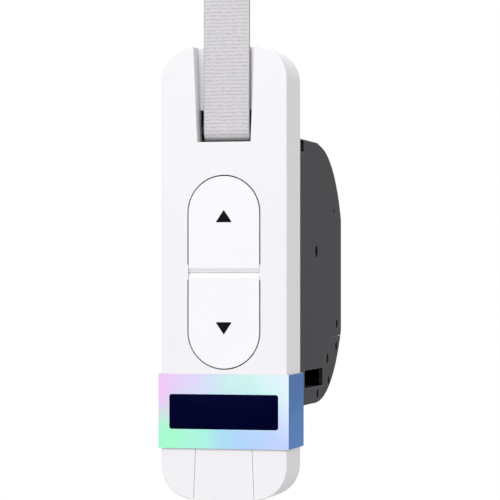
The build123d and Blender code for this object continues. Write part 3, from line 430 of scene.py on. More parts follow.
@dataclass(frozen=True)
class Webbing(Finish):
    """Woven polyester strap, whose warp runs over thick weft bundles in cross ribs.

    It reads the place across and along the strap from the cloth attribute. The furrows follow a
    power of a raised cosine, so the ribs' tops are broad and the furrows narrow, and painted shade
    darkens them.

    Attributes:
        furrow: colour of the painted shade in the furrows between ribs.
        shade: colour of the yarns that lie deeper.
        edge_shade: colour of the painted shade along both edges.
        edge_shade_reach: distances from the middle where that starts and where it is full.
        strap_shade: colour of the painted shade where walls are close and where the strap turns in.
        shade_gap: how close a wall has to be for that.
        shade_room: share of open air round a point where that shade starts and where it is full.
        lip: the slot's lower lip, as depth and height, where the strap turns in under painted shade.
        lip_reach: distances from the lip where that shade starts and where it is full.
        lip_shade: how much of that shade shows there.
        pitch: distance from rib to rib.
        power: power of the raised cosine that gives the furrows.
        dash: how fast the yarns change across the strap and along it.
        dash_limits: noise level where a deeper yarn starts and where it is full.
        yarn: distance between warp yarns, drawn twice as coarse as the real one, which would
            not show.
        stray: how far a yarn strays from its line, in radians of the wave across them.
        relief: height of the yarns.
        sheen: weight of the light that loose fibres catch.
    """

    furrow: str = "b6b4b8"
    shade: str = "d0cdd1"
    edge_shade: str = "7c7a7e"
    edge_shade_reach: Pair = (9.75, 9.9)
    strap_shade: str = "0e0d10"
    shade_gap: float = 4.0
    shade_room: Pair = (0.62, 0.2)
    lip: Pair = (-18.0, 54.9)
    lip_reach: Pair = (2.4, 0.8)
    lip_shade: float = 0.7
    pitch: float = 1.5
    power: float = 2.2
    dash: Pair = (0.45, 1.6)
    dash_limits: Pair = (0.38, 0.62)
    yarn: float = 0.8
    stray: float = 1.5
    relief: float = 0.05
    sheen: float = 0.15

    def lay(self, tree: Tree, surface: Node, place: Socket) -> None:
        """Lays ribs, yarns, and painted shade in the furrows, along the edges and in the slot.

        Args:
            tree: the material's node tree.
            surface: its Principled shader.
            place: the place on the piece, in metres.
        """
        cloth = add(tree, "Attribute", {}, attribute_name="cloth").outputs["Vector"]
        parts = add(tree, "SeparateXYZ", {0: cloth}).outputs
        turns = {0: parts["Y"], 1: 2 * math.pi / self.pitch}
        phase = add(tree, "Math", turns, operation="MULTIPLY")
        wave = add(tree, "Math", {0: phase}, operation="COSINE")
        raised = add(tree, "Math", {0: wave, 1: 0.5, 2: 0.5}, operation="MULTIPLY_ADD")
        dip = add(tree, "Math", {0: raised, 1: self.power}, operation="POWER")
        yarns = {"Vector": cloth, "Scale": WAVE_PER_UNIT / self.yarn, "Detail Scale": 2.0}
        yarns["Distortion"] = self.stray
        warp = add(tree, "TexWave", yarns, bands_direction="X").outputs["Fac"]
        dashes = add(tree, "VectorMath", {0: cloth, 1: (*self.dash, 1.0)}, operation="MULTIPLY")
        rough = {"Vector": dashes, "Scale": 1.0, "Detail": 4.0, "Roughness": 0.75}
        fuzz = add(tree, "TexNoise", rough)
        start, full = self.dash_limits
        uneven = add(tree, "MapRange", {"Value": fuzz, "From Min": start, "From Max": full})
        # Painted shade: the furrows darken towards the furrow colour as the rib dips
        depth = add(tree, "Math", {0: dip, 1: uneven}, operation="MULTIPLY")
        body = add(tree, "Mix", {0: uneven, 6: self.colour, 7: self.shade}, data_type="RGBA")
        tint = add(tree, "Mix", {0: depth, 6: body, 7: self.furrow}, data_type="RGBA")
        # Painted shade along both edges of the strap
        aside = add(tree, "Math", {0: parts["X"]}, operation="ABSOLUTE")
        tint = self.overlay(tree, tint, self.edge_shade, aside, self.edge_shade_reach)
        # Painted shade where walls of the slot are close round the strap
        air = add(tree, "AmbientOcclusion", {"Distance": self.shade_gap * MM}, samples=RAYS).outputs["AO"]
        tint = self.overlay(tree, tint, self.strap_shade, air, self.shade_room)
        # Painted shade near the slot's lower lip, where the strap turns in
        flat = add(tree, "VectorMath", {0: place, 1: (0.0, 1.0, 1.0)}, operation="MULTIPLY")
        lip = (0.0, self.lip[0] * MM, self.lip[1] * MM)
        away = add(tree, "VectorMath", {0: flat, 1: lip}, operation="DISTANCE")
        reach = (self.lip_reach[0] * MM, self.lip_reach[1] * MM)
        smooth = {"interpolation_type": "SMOOTHSTEP"}
        tint = self.overlay(tree, tint, self.strap_shade, away, reach, self.lip_shade, **smooth)
        height = add(tree, "Math", {0: warp, 1: 0.5, 2: fuzz}, operation="MULTIPLY_ADD")
        self.finish(tree, surface, tint, height, self.relief)
        surface.inputs["Sheen Weight"].default_value = self.sheen


@dataclass(frozen=True)
class PrintedCard(Finish):
    """Coated folding box board, offset printed outside and bare inside.

    The front carries a soft wash of pastel inks, one run of colours along its upper edge and one
    along its lower edge, which melt into each other in slow swirls. The sides carry one blue that
    deepens upwards, and the cut edges and the inside show the white board.

    Attributes:
        front_y: depth of the front's outer face.
        side_x: place of the side's outer face.
        middle_z: height where the two runs meet.
        upper: inks along the upper edge, from left to right.
        lower: inks along the lower edge, from left to right.
        side_low: the sides' blue along their lower edge.
        side_high: the sides' blue along their upper edge.
        board: colour of the bare board.
        swirl_size: size of the swirls.
        swirl_bend: how far they curl.
        push: range over which they push the inks across and up.
        blend: half the height over which the two runs melt together.
        skin: how near a face a point has to be to count as printed.
        fibre: size of the board's fibres.
        relief: their height.
    """

    front_y: float = -25.5
    side_x: float = 28.0
    middle_z: float = -57.7
    upper: tuple[str, ...] = ("f4c2f5", "ded6fb", "bcf8e6", "eaf0ff")
    lower: tuple[str, ...] = ("a2fbc8", "b0f2e6", "a8cffb", "c8d2fd")
    side_low: str = "4785ca"
    side_high: str = "3674b6"
    board: str = "efeeec"
    swirl_size: float = 30.0
    swirl_bend: float = 0.6
    push: Pair = (40.0, 26.0)
    blend: float = 11.0
    skin: float = 0.06
    fibre: float = 0.8
    relief: float = 0.004

    def wash(self, tree: Tree, place: Node, inks: tuple[str, ...]) -> Node:
        """Lays one run of inks across the front.

        Args:
            tree: the material's node tree.
            place: the share of the way from left to right.
            inks: the run's colours in order.

        Returns:
            The colour's node.
        """
        run = add(tree, "ValToRGB", {"Fac": place})
        ramp = run.color_ramp
        ramp.interpolation = "B_SPLINE"
        last = len(inks) - 1
        stops = [ramp.elements[0]]
        stops += [ramp.elements.new(step / last) for step in range(1, last)]
        stops.append(ramp.elements[-1])
        for stop, ink in zip(stops, inks):
            stop.color = linear(ink)
        return run

    def lay(self, tree: Tree, surface: Node, place: Socket) -> None:
        """Lays the wash on the front and the blue on the sides.

        Args:
            tree: the material's node tree.
            surface: its Principled shader.
            place: the place on the piece, in metres.
        """
        drift = {"Vector": place, "Scale": 1 / (self.swirl_size * MM), "Detail": 1.0}
        drift["Distortion"] = self.swirl_bend
        swirl = add(tree, "TexNoise", drift).outputs["Color"]
        centred = add(tree, "VectorMath", {0: swirl, 1: (0.5, 0.5, 0.5)}, operation="SUBTRACT")
        push = {0: centred, 1: (self.push[0] * MM, 0.0, self.push[1] * MM), 2: place}
        pushed = add(tree, "VectorMath", push, operation="MULTIPLY_ADD")
        bent = add(tree, "SeparateXYZ", {0: pushed}).outputs
        half = self.side_x * MM
        share = add(tree, "MapRange", {"Value": bent["X"], "From Min": -half, "From Max": half})
        low_z, high_z = (self.middle_z - self.blend) * MM, (self.middle_z + self.blend) * MM
        rise = {"Value": bent["Z"], "From Min": low_z, "From Max": high_z}
        high = add(tree, "MapRange", rise, interpolation_type="SMOOTHSTEP")
        runs = {0: high, 6: self.wash(tree, share, self.lower), 7: self.wash(tree, share, self.upper)}
        front = add(tree, "Mix", runs, data_type="RGBA")
        parts = add(tree, "SeparateXYZ", {0: place}).outputs
        aside = add(tree, "Math", {0: parts["X"]}, operation="ABSOLUTE")
        side_limit = {0: aside, 1: (self.side_x - self.skin) * MM}
        on_side = add(tree, "Math", side_limit, operation="GREATER_THAN")
        front_limit = {0: parts["Y"], 1: (self.front_y + self.skin) * MM}
        on_front = add(tree, "Math", front_limit, operation="LESS_THAN")
        side = add(tree, "Mix", {0: high, 6: self.side_low, 7: self.side_high}, data_type="RGBA")
        tint = add(tree, "Mix", {0: on_side, 6: self.board, 7: side}, data_type="RGBA")
        tint = add(tree, "Mix", {0: on_front, 6: tint, 7: front}, data_type="RGBA")
        fine = {"Vector": place, "Scale": 1 / (self.fibre * MM), "Detail": 4.0}
        self.finish(tree, surface, tint, add(tree, "TexNoise", fine), self.relief)


@dataclass(frozen=True)
class CircuitBoard(Finish):
    """Glass-epoxy board with copper tracks under a green solder mask, and tinned vias.

    Attributes:
        track: colour of the mask over copper.
        tin: colour of the vias.
        track_pitch: distance between tracks.
        track_run: length after which a track steps aside.
        track_width: half a track's width.
        via_pitch: mean distance between vias.
        via_reach: a via's radius as a share of that.
        relief: height of a track under the mask.
    """

    track: str = "2f8a52"
    tin: str = "c8c8c0"
    track_pitch: float = 1.3
    track_run: float = 9.0
    track_width: float = 0.18
    via_pitch: float = 3.1
    via_reach: float = 0.11
    relief: float = 0.03

    def lay(self, tree: Tree, surface: Node, place: Socket) -> None:
        """Lays tracks as a bond of long bricks' joints, and vias as spots.

        Args:
            tree: the material's node tree.
            surface: its Principled shader.
            place: the place on the piece, in metres.
        """
        parts = add(tree, "SeparateXYZ", {0: place}).outputs
        sheet = add(tree, "CombineXYZ", {"X": parts["Z"], "Y": parts["X"]})
        bond = {"Vector": sheet, "Scale": 1 / MM, "Mortar Size": self.track_width, "Mortar Smooth": 0.1}
        bond.update({"Brick Width": self.track_run, "Row Height": self.track_pitch})
        tracks = add(tree, "TexBrick", bond).outputs["Fac"]
        tint = add(tree, "Mix", {0: tracks, 6: self.colour, 7: self.track}, data_type="RGBA")
        spots = add(tree, "TexVoronoi", {"Vector": sheet, "Scale": 1 / (self.via_pitch * MM)})
        via = add(tree, "Math", {0: spots, 1: self.via_reach}, operation="LESS_THAN")
        tint = add(tree, "Mix", {0: via, 6: tint, 7: self.tin}, data_type="RGBA")
        self.finish(tree, surface, tint, tracks, self.relief)


@dataclass(frozen=True)
class Ink(Finish):
    """Printed ink film, dense, with pinholes that thin it and a slightly uneven gloss.

    Attributes:
        thin: colour where the film is thin.
        speck: size of the uneven spots.
        thin_limits: noise level where a thin spot starts and where it is full.
        spread: how far the roughness strays either way.
    """

    thin: str = "26262a"
    speck: float = 0.5
    thin_limits: Pair = (0.55, 0.8)
    spread: float = 0.05

    def lay(self, tree: Tree, surface: Node, place: Socket) -> None:
        """Lays the thin spots and the gloss.

        Args:
            tree: the material's node tree.
            surface: its Principled shader.
            place: the place on the piece, in metres.
        """
        spots = {"Vector": place, "Scale": 1 / (self.speck * MM), "Detail": 3.0}
        speck = add(tree, "TexNoise", spots)
        tint = self.overlay(tree, self.colour, self.thin, speck, self.thin_limits)
        self.finish(tree, surface, tint, speck, spread=self.spread)


class Ware(Enum):
    """The finishes of the winder's pieces, by what each piece is made of."""

    # Satin ABS from an evenly eroded mould: a soft, wide highlight on a clean white
    # Its rounded edges get a painted highlight
    COVER = Moulded(
        "abs_moulded_satin_white", "f3f1f4", 0.42, 1.52, "f0eef1", 0.35, 0.006, 60, 0.04,
        edge_highlight="f9f7fa", edge=0.35, shine=0.25,
    )
    # The same ABS from a polished mould: the keys are a touch whiter and glossier than the cover
    # Rounded edges get a painted highlight, and the slits round the keys get painted shade
    KEY = Moulded(
        "abs_moulded_gloss_white", "f8f6f9", 0.32, 1.52, "f5f3f6", 0.3, 0.003, 40, 0.03,
        edge_highlight="fbf9fc", edge=0.3, recess_shade="5a585b", gap=1.0, shine=0.3,
    )
    # Dark glass-filled polyamide: dry, with a grain that shows as a faint sparkle
    # Rounded edges get a paler painted highlight, and bores and gaps get near-black painted shade
    HOUSING = Moulded(
        "pa6_glass_filled_dark_grey", "39353b", 0.62, 1.53, "333035", 0.45, 0.03, 28, 0.08,
        edge_highlight="858388", edge=0.6, recess_shade="020203", gap=4.0, room=(0.8, 0.4), shine=0.12,
    )
    # Talc-filled polypropylene: a duller grey than the housing
    # Its rounded edges get a painted highlight
    CHASSIS = Moulded(
        "pp_moulded_matt_grey", "8e8e92", 0.6, 1.49, "858589", 0.5, 0.02, 30, 0.06,
        edge_highlight="a2a2a5", edge=0.3,
    )
    # Black polyamide of switches: dense and half matt
    SWITCH = Moulded("pa66_moulded_black", "1b1b1d", 0.45, 1.53, "222224", 0.3, 0.01, 8, 0.06)
    # Black acetal: slippery, so smooth that it looks oiled
    BLACK_ACETAL = Moulded("pom_moulded_black", "18181a", 0.28, 1.48, "1f1f21", 0.4, 0.005, 12, 0.05)
    # Natural acetal: milky white with a waxy sheen
    WHITE_ACETAL = Moulded("pom_moulded_natural", "e9e7e0", 0.32, 1.48, "dfddd4", 0.4, 0.006, 14, 0.05)
    # Grey polyamide of terminals, a little glossy on its flat sides
    TERMINAL = Moulded("pa66_moulded_terminal_grey", "4a4b4f", 0.4, 1.53, "424347", 0.35, 0.01, 9, 0.05)
    # Polyester tape round the coil: yellow, thin and shiny, in slightly uneven wraps
    TAPE = Moulded("polyester_tape_yellow", "e0b93a", 0.3, 1.6, "d3a92c", 1.2, 0.03, 6, 0.08)
    # Shrunk sleeve of the capacitors: smooth PVC with a wet gloss
    SLEEVE = Moulded("pvc_shrink_sleeve_blue", "22417e", 0.25, 1.53, "1d386e", 0.8, 0.01, 7, 0.05)
    # Zinc plating: bluish silver with an even frost from the barrel
    ZINC = Metal("steel_zinc_plated", "c9ccd1", 0.32, 1.5, (0.3, 0.3, 0.3), 0.003, "a9adb3")
    # Phosphated steel: nearly black and dull, with grey where the driver has rubbed
    PHOSPHATE = Metal("steel_black_phosphated", "3a3a3d", 0.48, 1.5, (0.25, 0.25, 0.25), 0.004, "5a5a5e")
    # Tinned sheet: bright, with drawn streaks across the winder
    TIN = Metal("steel_sheet_tinned", "d6d7d6", 0.22, 1.5, (0.15, 4.0, 6.0), 0.002, "bfc0be")
    # Ground pins: fine rings round their axis, which lies along X
    PIN = Metal("steel_ground_bright", "bfc1c4", 0.2, 1.5, (0.12, 3.0, 3.0), 0.002, "a5a7aa")
    # Sintered bronze: warm and oily, with pores that dull it
    BRONZE = Metal("bronze_sintered", "80592f", 0.42, 1.5, (0.35, 0.35, 0.35), 0.02, "54391b", 0.1)
    # Nickelled motor can: bright, drawn along the shaft
    CAN = Metal("steel_drawn_nickelled", "c2c0ba", 0.26, 1.5, (5.0, 0.2, 0.2), 0.003, "aaa79f")
    # Pressed ferrite: near black, matt and a little gritty
    FERRITE = Moulded("ferrite_pressed_charcoal", "2c2b2d", 0.62, 1.8, "353436", 0.3, 0.02, 5, 0.08)
    # Glass epoxy with a green mask: the copper shows through as a paler green
    BOARD = CircuitBoard("fr4_green_solder_mask", "1f6b3c", 0.3, 1.55)
    # Strap of light grey polyester, with painted shade in its furrows, along its edges and in the slot
    STRAP = Webbing("polyester_woven_light_grey", "dad7da", 0.8, 1.5, shine=0.2)
    # Coated board with offset inks under a thin varnish
    CARD = PrintedCard("box_board_offset_printed", "efeeec", 0.5, 1.5, shine=0.12)
    # Black screen ink of the arrows on the keys
    MARK = Ink("screen_ink_black", "0e0e10", 0.6, shine=0.04)
    # Navy ink of the bare panel, even and half matt
    PANEL = Ink("offset_ink_navy", "000228", 0.6, 1.5, "050836", 0.7, shine=0.02)
    # Bonded polyester thread of the hem: the strap's grey, a shade lighter
    THREAD = Moulded("polyester_bonded_thread", "e4e3e6", 0.6, 1.5, "d9d8dc", 0.3, 0.02, 3, 0.05)

    def give(self, piece: Piece) -> None:
        """Puts the finish on a piece."""
        piece.data.materials.append(self.value.material())


@dataclass
class Segment:
    """One stretch of a flat route.

    Attributes:
        length: its length.
        bend: one over its radius, positive to the left, or 0 where it is straight.
    """

    length: float
    bend: float = 0.0


def follow(start: Pair, heading: float, route: list[Segment], along: Array) -> tuple[Array, Array]:
    """Finds points on a flat route of straights and arcs.

    On each stretch the heading grows evenly with the length, and the place is the start plus the
    length times the direction halfway, times the sine over the angle of half the turn.

    Args:
        start: where the route begins, in the side view's depth and height.
        heading: its first direction in radians from the depth axis.
        route: its stretches in order.
        along: the lengths from the start at which points are wanted.

    Returns:
        The points and the unit normals to the left of the route, each shaped lengths by 2.
    """
    points = np.zeros((len(along), 2))
    angles = np.zeros(len(along))
    origin = np.array(start, float)
    done = 0.0
    for step, part in enumerate(route):
        last = step == len(route) - 1
        mine = (along >= done) & ((along < done + part.length) | last)
        reach = np.append(along[mine] - done, part.length)
        half = reach * part.bend / 2
        chord = reach * np.sinc(half / math.pi)
        way = np.stack((np.cos(heading + half), np.sin(heading + half)), axis=-1)
        places = origin + chord[:, None] * way
        points[mine] = places[:-1]
        angles[mine] = heading + 2 * half[:-1]
        origin = places[-1]
        heading += part.length * part.bend
        done += part.length
    return points, np.stack((-np.sin(angles), np.cos(angles)), axis=-1)


@dataclass
class WoundStrap:
    """The woven strap: the run down the cover and round the roller, its sewn hem, and the roll.

    Attributes:
        width: the strap's width.
        thickness: its thickness.
        line_y: depth of the run's middle line in front of the roller.
        hem: length of the folded end.
        roller: centre of the guide roller, as depth and height.
        wrap: radius of the strap's middle line round the roller.
        reel: centre of the reel.
        roll_inner: radius of the reel's hub.
        roll_outer: radius of the full roll.
        gap: air between the roll and the run beside it.
        slack: air between two layers of the roll.
        pitch: distance from rib to rib.
        furrow: depth of the furrows between ribs.
        rings: rings of points to a rib of the run and to a turn of the roll.
        wander: how far each wave moves a rib, as a share of the pitch.
        waves: their radians per millimetre across and along, and the angle that they start at.
        stray: how far the roll's edge strays, as a share of the width.
        stray_waves: radians a turn of its slow wave and of the one that bends it, and the bend.
        seam: how far it keeps from the strap's edges and from the hem's end, and row from row.
        stitch: length of a stitch.
        thread: radius of the thread, and how far its middle rises out of the cloth.
    """

    width: float = 20.0
    thickness: float = 1.3
    line_y: float = -19.35
    hem: float = 14.0
    roller: Pair = (-12.7, 60.0)
    wrap: float = 6.65
    reel: Pair = (43.3, 9.7)
    roll_inner: float = 10.05
    roll_outer: float = 30.7
    gap: float = 0.3
    slack: float = 0.02
    pitch: float = 1.5
    furrow: float = 0.1
    rings: tuple[int, int] = (7, 90)
    wander: float = 0.03
    waves: tuple[Place, ...] = ((0.42, 0.31, 0.0), (0.9, -0.83, 1.0), (2.3, 0.71, 2.0))
    stray: float = 0.008
    stray_waves: Place = (2.3, 5.1, 0.4)
    seam: Place = (1.6, 2.0, 3.0)
    stitch: float = 1.25
    thread: Pair = (0.22, 0.05)

    def section(self, across: int, edge: int) -> tuple[Array, Array]:
        """Gives the strap's section: two flat faces joined by half round edges.

        Args:
            across: points on each flat face.
            edge: points on each round edge.

        Returns:
            Places across the strap, and the share of half the thickness at each.
        """
        half = self.thickness / 2
        flat = np.linspace(-1, 1, across) * (self.width / 2 - half)
        turn = np.linspace(math.pi / 2, -math.pi / 2, edge + 2)[1:-1]
        side = self.width / 2 - half + half * np.cos(turn)
        x = np.concatenate((flat, side, flat[::-1], -side[::-1]))
        share = np.concatenate((np.ones(across), np.sin(turn), -np.ones(across), np.sin(turn[::-1])))
        return x, share

    def back_run(self) -> Pair:
        """Works out the straight run that touches the strap round the roller and the roll.

        It is one leg of the right triangle that has the line between both centres as its longest
        side, and both radii together as its other leg.

        Returns:
            Its length, and how far it slopes down in radians.
        """
        across = self.reel[0] - self.roller[0]
        down = self.roller[1] - self.reel[1]
        reach = math.hypot(across, down)
        radii = self.wrap + self.roll_outer + self.gap + self.thickness / 2
        return math.sqrt(reach**2 - radii**2), math.atan2(down, across) - math.asin(radii / reach)

    def lay_route(self, top: float) -> tuple[Pair, list[Segment]]:
        """Gives the middle line from the hem's end up, over the fold, down and back to the reel.

        Args:
            top: height of the strap's upper end.

        Returns:
            The start and the stretches.
        """
        half = self.thickness / 2
        fold_z = top - self.thickness
        length, fall = self.back_run()
        start = (self.line_y + self.thickness, top - self.hem)
        route = [
            Segment(fold_z - start[1]),
            Segment(math.pi * half, 1 / half),
            Segment(fold_z - self.roller[1]),
            Segment(self.wrap * (math.pi / 2 - fall), 1 / self.wrap),
            Segment(length),
        ]
        return start, route

    def run(self, top: float) -> None:
        """Builds the run with its hem as one ribbed ribbon.

        The thickness dips by the furrow's depth times the cube of a raised cosine of the length,
        and the waves let each rib wander, as a loom's weft does.

        Args:
            top: height of the strap's upper end.
        """
        start, route = self.lay_route(top)
        total = sum(part.length for part in route)
        along = np.linspace(0, total, int(total / self.pitch * self.rings[0]))
        points, normals = follow(start, math.pi / 2, route, along)
        x, share = self.section(across=27, edge=5)
        length, side = along[:, None], x[None, :]
        waves = [np.sin(across * side + down * length + first) for across, down, first in self.waves]
        phase = length + self.pitch * self.wander * sum(waves)
        dip = (0.5 + 0.5 * np.cos(2 * math.pi * phase / self.pitch)) ** 3
        half = (self.thickness / 2 - self.furrow * dip) * share
        rings = np.empty((len(along), len(x), 3))
        rings[..., 0] = side
        rings[..., 1:] = points[:, None] + normals[:, None] * half[..., None]
        cloth = np.stack(np.broadcast_arrays(side, phase, 0.0), axis=-1)
        piece = sweep("strap_webbing", rings, cloth)
        Ware.STRAP.give(piece)
        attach(piece, "root")
        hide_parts("strap_run")
        stitches = self.hem_stitches(top)
        log.info("strap run: %.0f mm of webbing, %d faces", total, len(piece.data.polygons))

    def hem_stitches(self, top: float) -> Piece:
        """Sews the hem with two rows of one thread, which rises out of the cloth at each stitch.

        The thread starts at the left edge, turns up into the second row at the right edge and comes
        back. Its depth follows a cosine, so that both rows show as short dashes on both faces.

        Args:
            top: height of the strap's upper end.

        Returns:
            The thread of both rows.
        """
        inset, low, step = self.seam
        radius, proud = self.thread
        points, sides = 240, 6
        # How much of both rows is sewn, how far they would run on, and how fast the turn climbs
        sewn, overrun, climb = 0.976, 1.05, 10
        way = np.linspace(-sewn, sewn, points)
        x = (self.width / 2 - inset) * np.clip(overrun * (1 - 2 * np.abs(way)), -1, 1)
        z = top - self.hem + low + step * np.clip(climb * way + 0.5, 0, 1)
        back = self.line_y + self.thickness * 1.5 + proud
        front = self.line_y - self.thickness / 2 - proud
        y = (back + front) / 2 + (back - front) / 2 * np.cos(math.pi * x / self.stitch)
        line = np.stack((x, y, z), axis=-1)
        ahead = np.gradient(line, axis=0)
        ahead /= np.linalg.norm(ahead, axis=-1, keepdims=True)
        never_ahead = np.array((0.0, 0.3, 1.0))
        up = np.cross(ahead, never_ahead)
        up /= np.linalg.norm(up, axis=-1, keepdims=True)
        aside = np.cross(ahead, up)
        turn = np.linspace(0, 2 * math.pi, sides, endpoint=False)
        spokes = np.cos(turn)[:, None] * up[:, None] + np.sin(turn)[:, None] * aside[:, None]
        piece = sweep("strap_hem_thread", line[:, None] + radius * spokes)
        Ware.THREAD.give(piece)
        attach(piece, "root")
        return piece

    def roll(self) -> None:
        """Winds the roll as one spiral ribbon.

        The radius of the middle line grows by one thickness a turn, and the width strays by a slow
        sine, as layers never lie quite flush.
        """
        half = self.thickness / 2
        turns = (self.roll_outer - self.roll_inner) / self.thickness - 1
        end = math.pi / 2 - self.back_run()[1]
        turn = np.linspace(0, turns, int(turns * self.rings[1]))
        angle = end + 2 * math.pi * (turns - turn)
        radius = self.roll_inner + half + self.thickness * turn
        middle = (self.roll_inner + half + radius) / 2
        length = 2 * math.pi * turn * middle
        x, share = self.section(across=5, edge=3)
        slow, quick, bend = self.stray_waves
        stray = 1 - self.stray * (1 + np.sin(slow * turn + bend * np.sin(quick * turn)))
        outward = radius[:, None] + (half - self.slack) * share[None, :]
        rings = np.empty((len(turn), len(x), 3))
        rings[..., 0] = x[None, :] * stray[:, None]
        rings[..., 1] = self.reel[0] + outward * np.cos(angle)[:, None]
        rings[..., 2] = self.reel[1] + outward * np.sin(angle)[:, None]
        cloth = np.stack(np.broadcast_arrays(x[None, :], length[:, None], 0.0), axis=-1)
        piece = sweep("strap_roll", rings, cloth)
        Ware.STRAP.give(piece)
        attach(piece, "reel")
        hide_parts("wound_strap")
        log.info("strap roll: %.1f turns, %.2f m", turns, length[-1] * MM)


@dataclass
class Print:
    """Ink films on the keys and on the card sleeve.

    Attributes:
        mark_width: width of an arrow on a key.
        mark_corner: radius of its corners.
        up_span: heights of the upper arrow's base and tip.
        down_span: heights of the lower arrow's base and tip.
        panel_half: half width and half height of the navy panel on the sleeve.
        panel_middle: the panel's middle, across and up.
        panel_corner: radius of its corners.
        film: thickness of the ink.
    """

    mark_width: float = 7.0
    mark_corner: float = 0.25
    up_span: Pair = (21.2, 26.4)
    down_span: Pair = (-20.4, -25.6)
    panel_half: Pair = (23.4, 7.3)
    panel_middle: Pair = (0.15, -57.75)
    panel_corner: float = 1.1
    film: float = 0.04

    def film_piece(self, name: str, corners: Array, radius: float, face_y: float) -> Piece:
        """Builds a film from an outline, with an edge that slopes over its own thickness.

        Its outer ring is the outline drawn in towards its middle by that thickness.

        Args:
            name: the piece's name.
            corners: anticlockwise corners in the front view.
            radius: radius of the corners.
            face_y: depth of the face that carries the film.

        Returns:
            The film.
        """
        outline = rounded(corners, radius)
        centre = outline.mean(axis=0)
        inner = centre + (outline - centre) * (1 - self.film / np.abs(outline - centre).max())
        depths = (face_y + self.film / 2, face_y - self.film / 2, face_y - self.film)
        rings = np.empty((3, len(outline), 3))
        for ring, depth, points in zip(rings, depths, (outline, outline, inner)):
            ring[:, 0], ring[:, 1], ring[:, 2] = points[:, 0], depth, points[:, 1]
        return sweep(name, rings)

    def arrow(self, name: str, node: str, body: str, span: Pair) -> None:
        """Prints one arrow on a key.

        Args:
            name: the piece's name.
            node: the key that carries it.
            body: the body that it rides on.
            span: heights of its base and tip.
        """
        base, tip = span
        half = self.mark_width / 2 * (1 if tip > base else -1)
        corners = np.array(((-half, base), (half, base), (0.0, tip)))
        piece = self.film_piece(name, corners, self.mark_corner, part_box(node)[0].y / MM)
        Ware.MARK.give(piece)
        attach(piece, body)
        log.info("%s printed on %s", name, node)

    def build(self) -> None:
        """Prints both arrows and the sleeve's panel."""
        self.arrow("up_arrow_print", "up_key", "up_rocker", self.up_span)
        self.arrow("down_arrow_print", "down_key", "down_rocker", self.down_span)
        signs = np.array(((-1, -1), (1, -1), (1, 1), (-1, 1)))
        corners = signs * np.array(self.panel_half) + np.array(self.panel_middle)
        face_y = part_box("card_sleeve")[0].y / MM
        piece = self.film_piece("sleeve_panel_print", corners, self.panel_corner, face_y)
        Ware.PANEL.give(piece)
        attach(piece, "sleeve")
        log.info("panel printed on the card sleeve")


@dataclass
class Winder:
    """The carried-over CAD pieces.

    Attributes:
        wares: their names by what they are made of.
    """

    wares: dict[Ware, tuple[str, ...]] = field(
        default_factory=lambda: {
            Ware.COVER: ("front_cover", "slot_insert"),
            Ware.KEY: ("up_key", "down_key"),
            Ware.CARD: ("card_sleeve",),
            Ware.BOARD: ("control_board", "encoder_board", "supply_board"),
            Ware.ZINC: ("board_screws", "chassis_screws", "terminal_screws"),
            Ware.TIN: ("radio_module",),
            Ware.SWITCH: ("switch_bodies", "up_plunger", "down_plunger"),
            Ware.STRAP: ("strap_run", "wound_strap"),
            Ware.BLACK_ACETAL: ("guide_roller",),
            Ware.PIN: ("guide_roller_pin", "reel_axle", "idler_axle", "encoder_axle", "pinion_shaft"),
            Ware.CHASSIS: ("chassis_plate",),
            Ware.HOUSING: ("left_housing", "right_housing", "service_cover"),
            Ware.PHOSPHATE: ("housing_screws", "clamp_screw"),
            Ware.WHITE_ACETAL: ("strap_reel", "reel_gear", "idler_gear", "encoder_gear"),
            Ware.BRONZE: ("reel_bushes", "pinion_bush", "motor_pinion"),
            Ware.CAN: ("motor_can", "motor_gearbox"),
            Ware.FERRITE: ("encoder_magnet",),
            Ware.TAPE: ("transformer",),
            Ware.SLEEVE: ("capacitors",),
            Ware.TERMINAL: ("terminal_block", "cable_clamp"),
        }
    )

    def dress(self, nodes: dict[str, Piece]) -> None:
        """Puts each finish into its nodes' material slots.

        Args:
            nodes: the CAD nodes by name.
        """
        for ware, names in self.wares.items():
            material = ware.value.material()
            for name in names:
                for slot in nodes[name].material_slots:
                    slot.material = material
            log.info("%s: %s", ware.value.name, ", ".join(names))


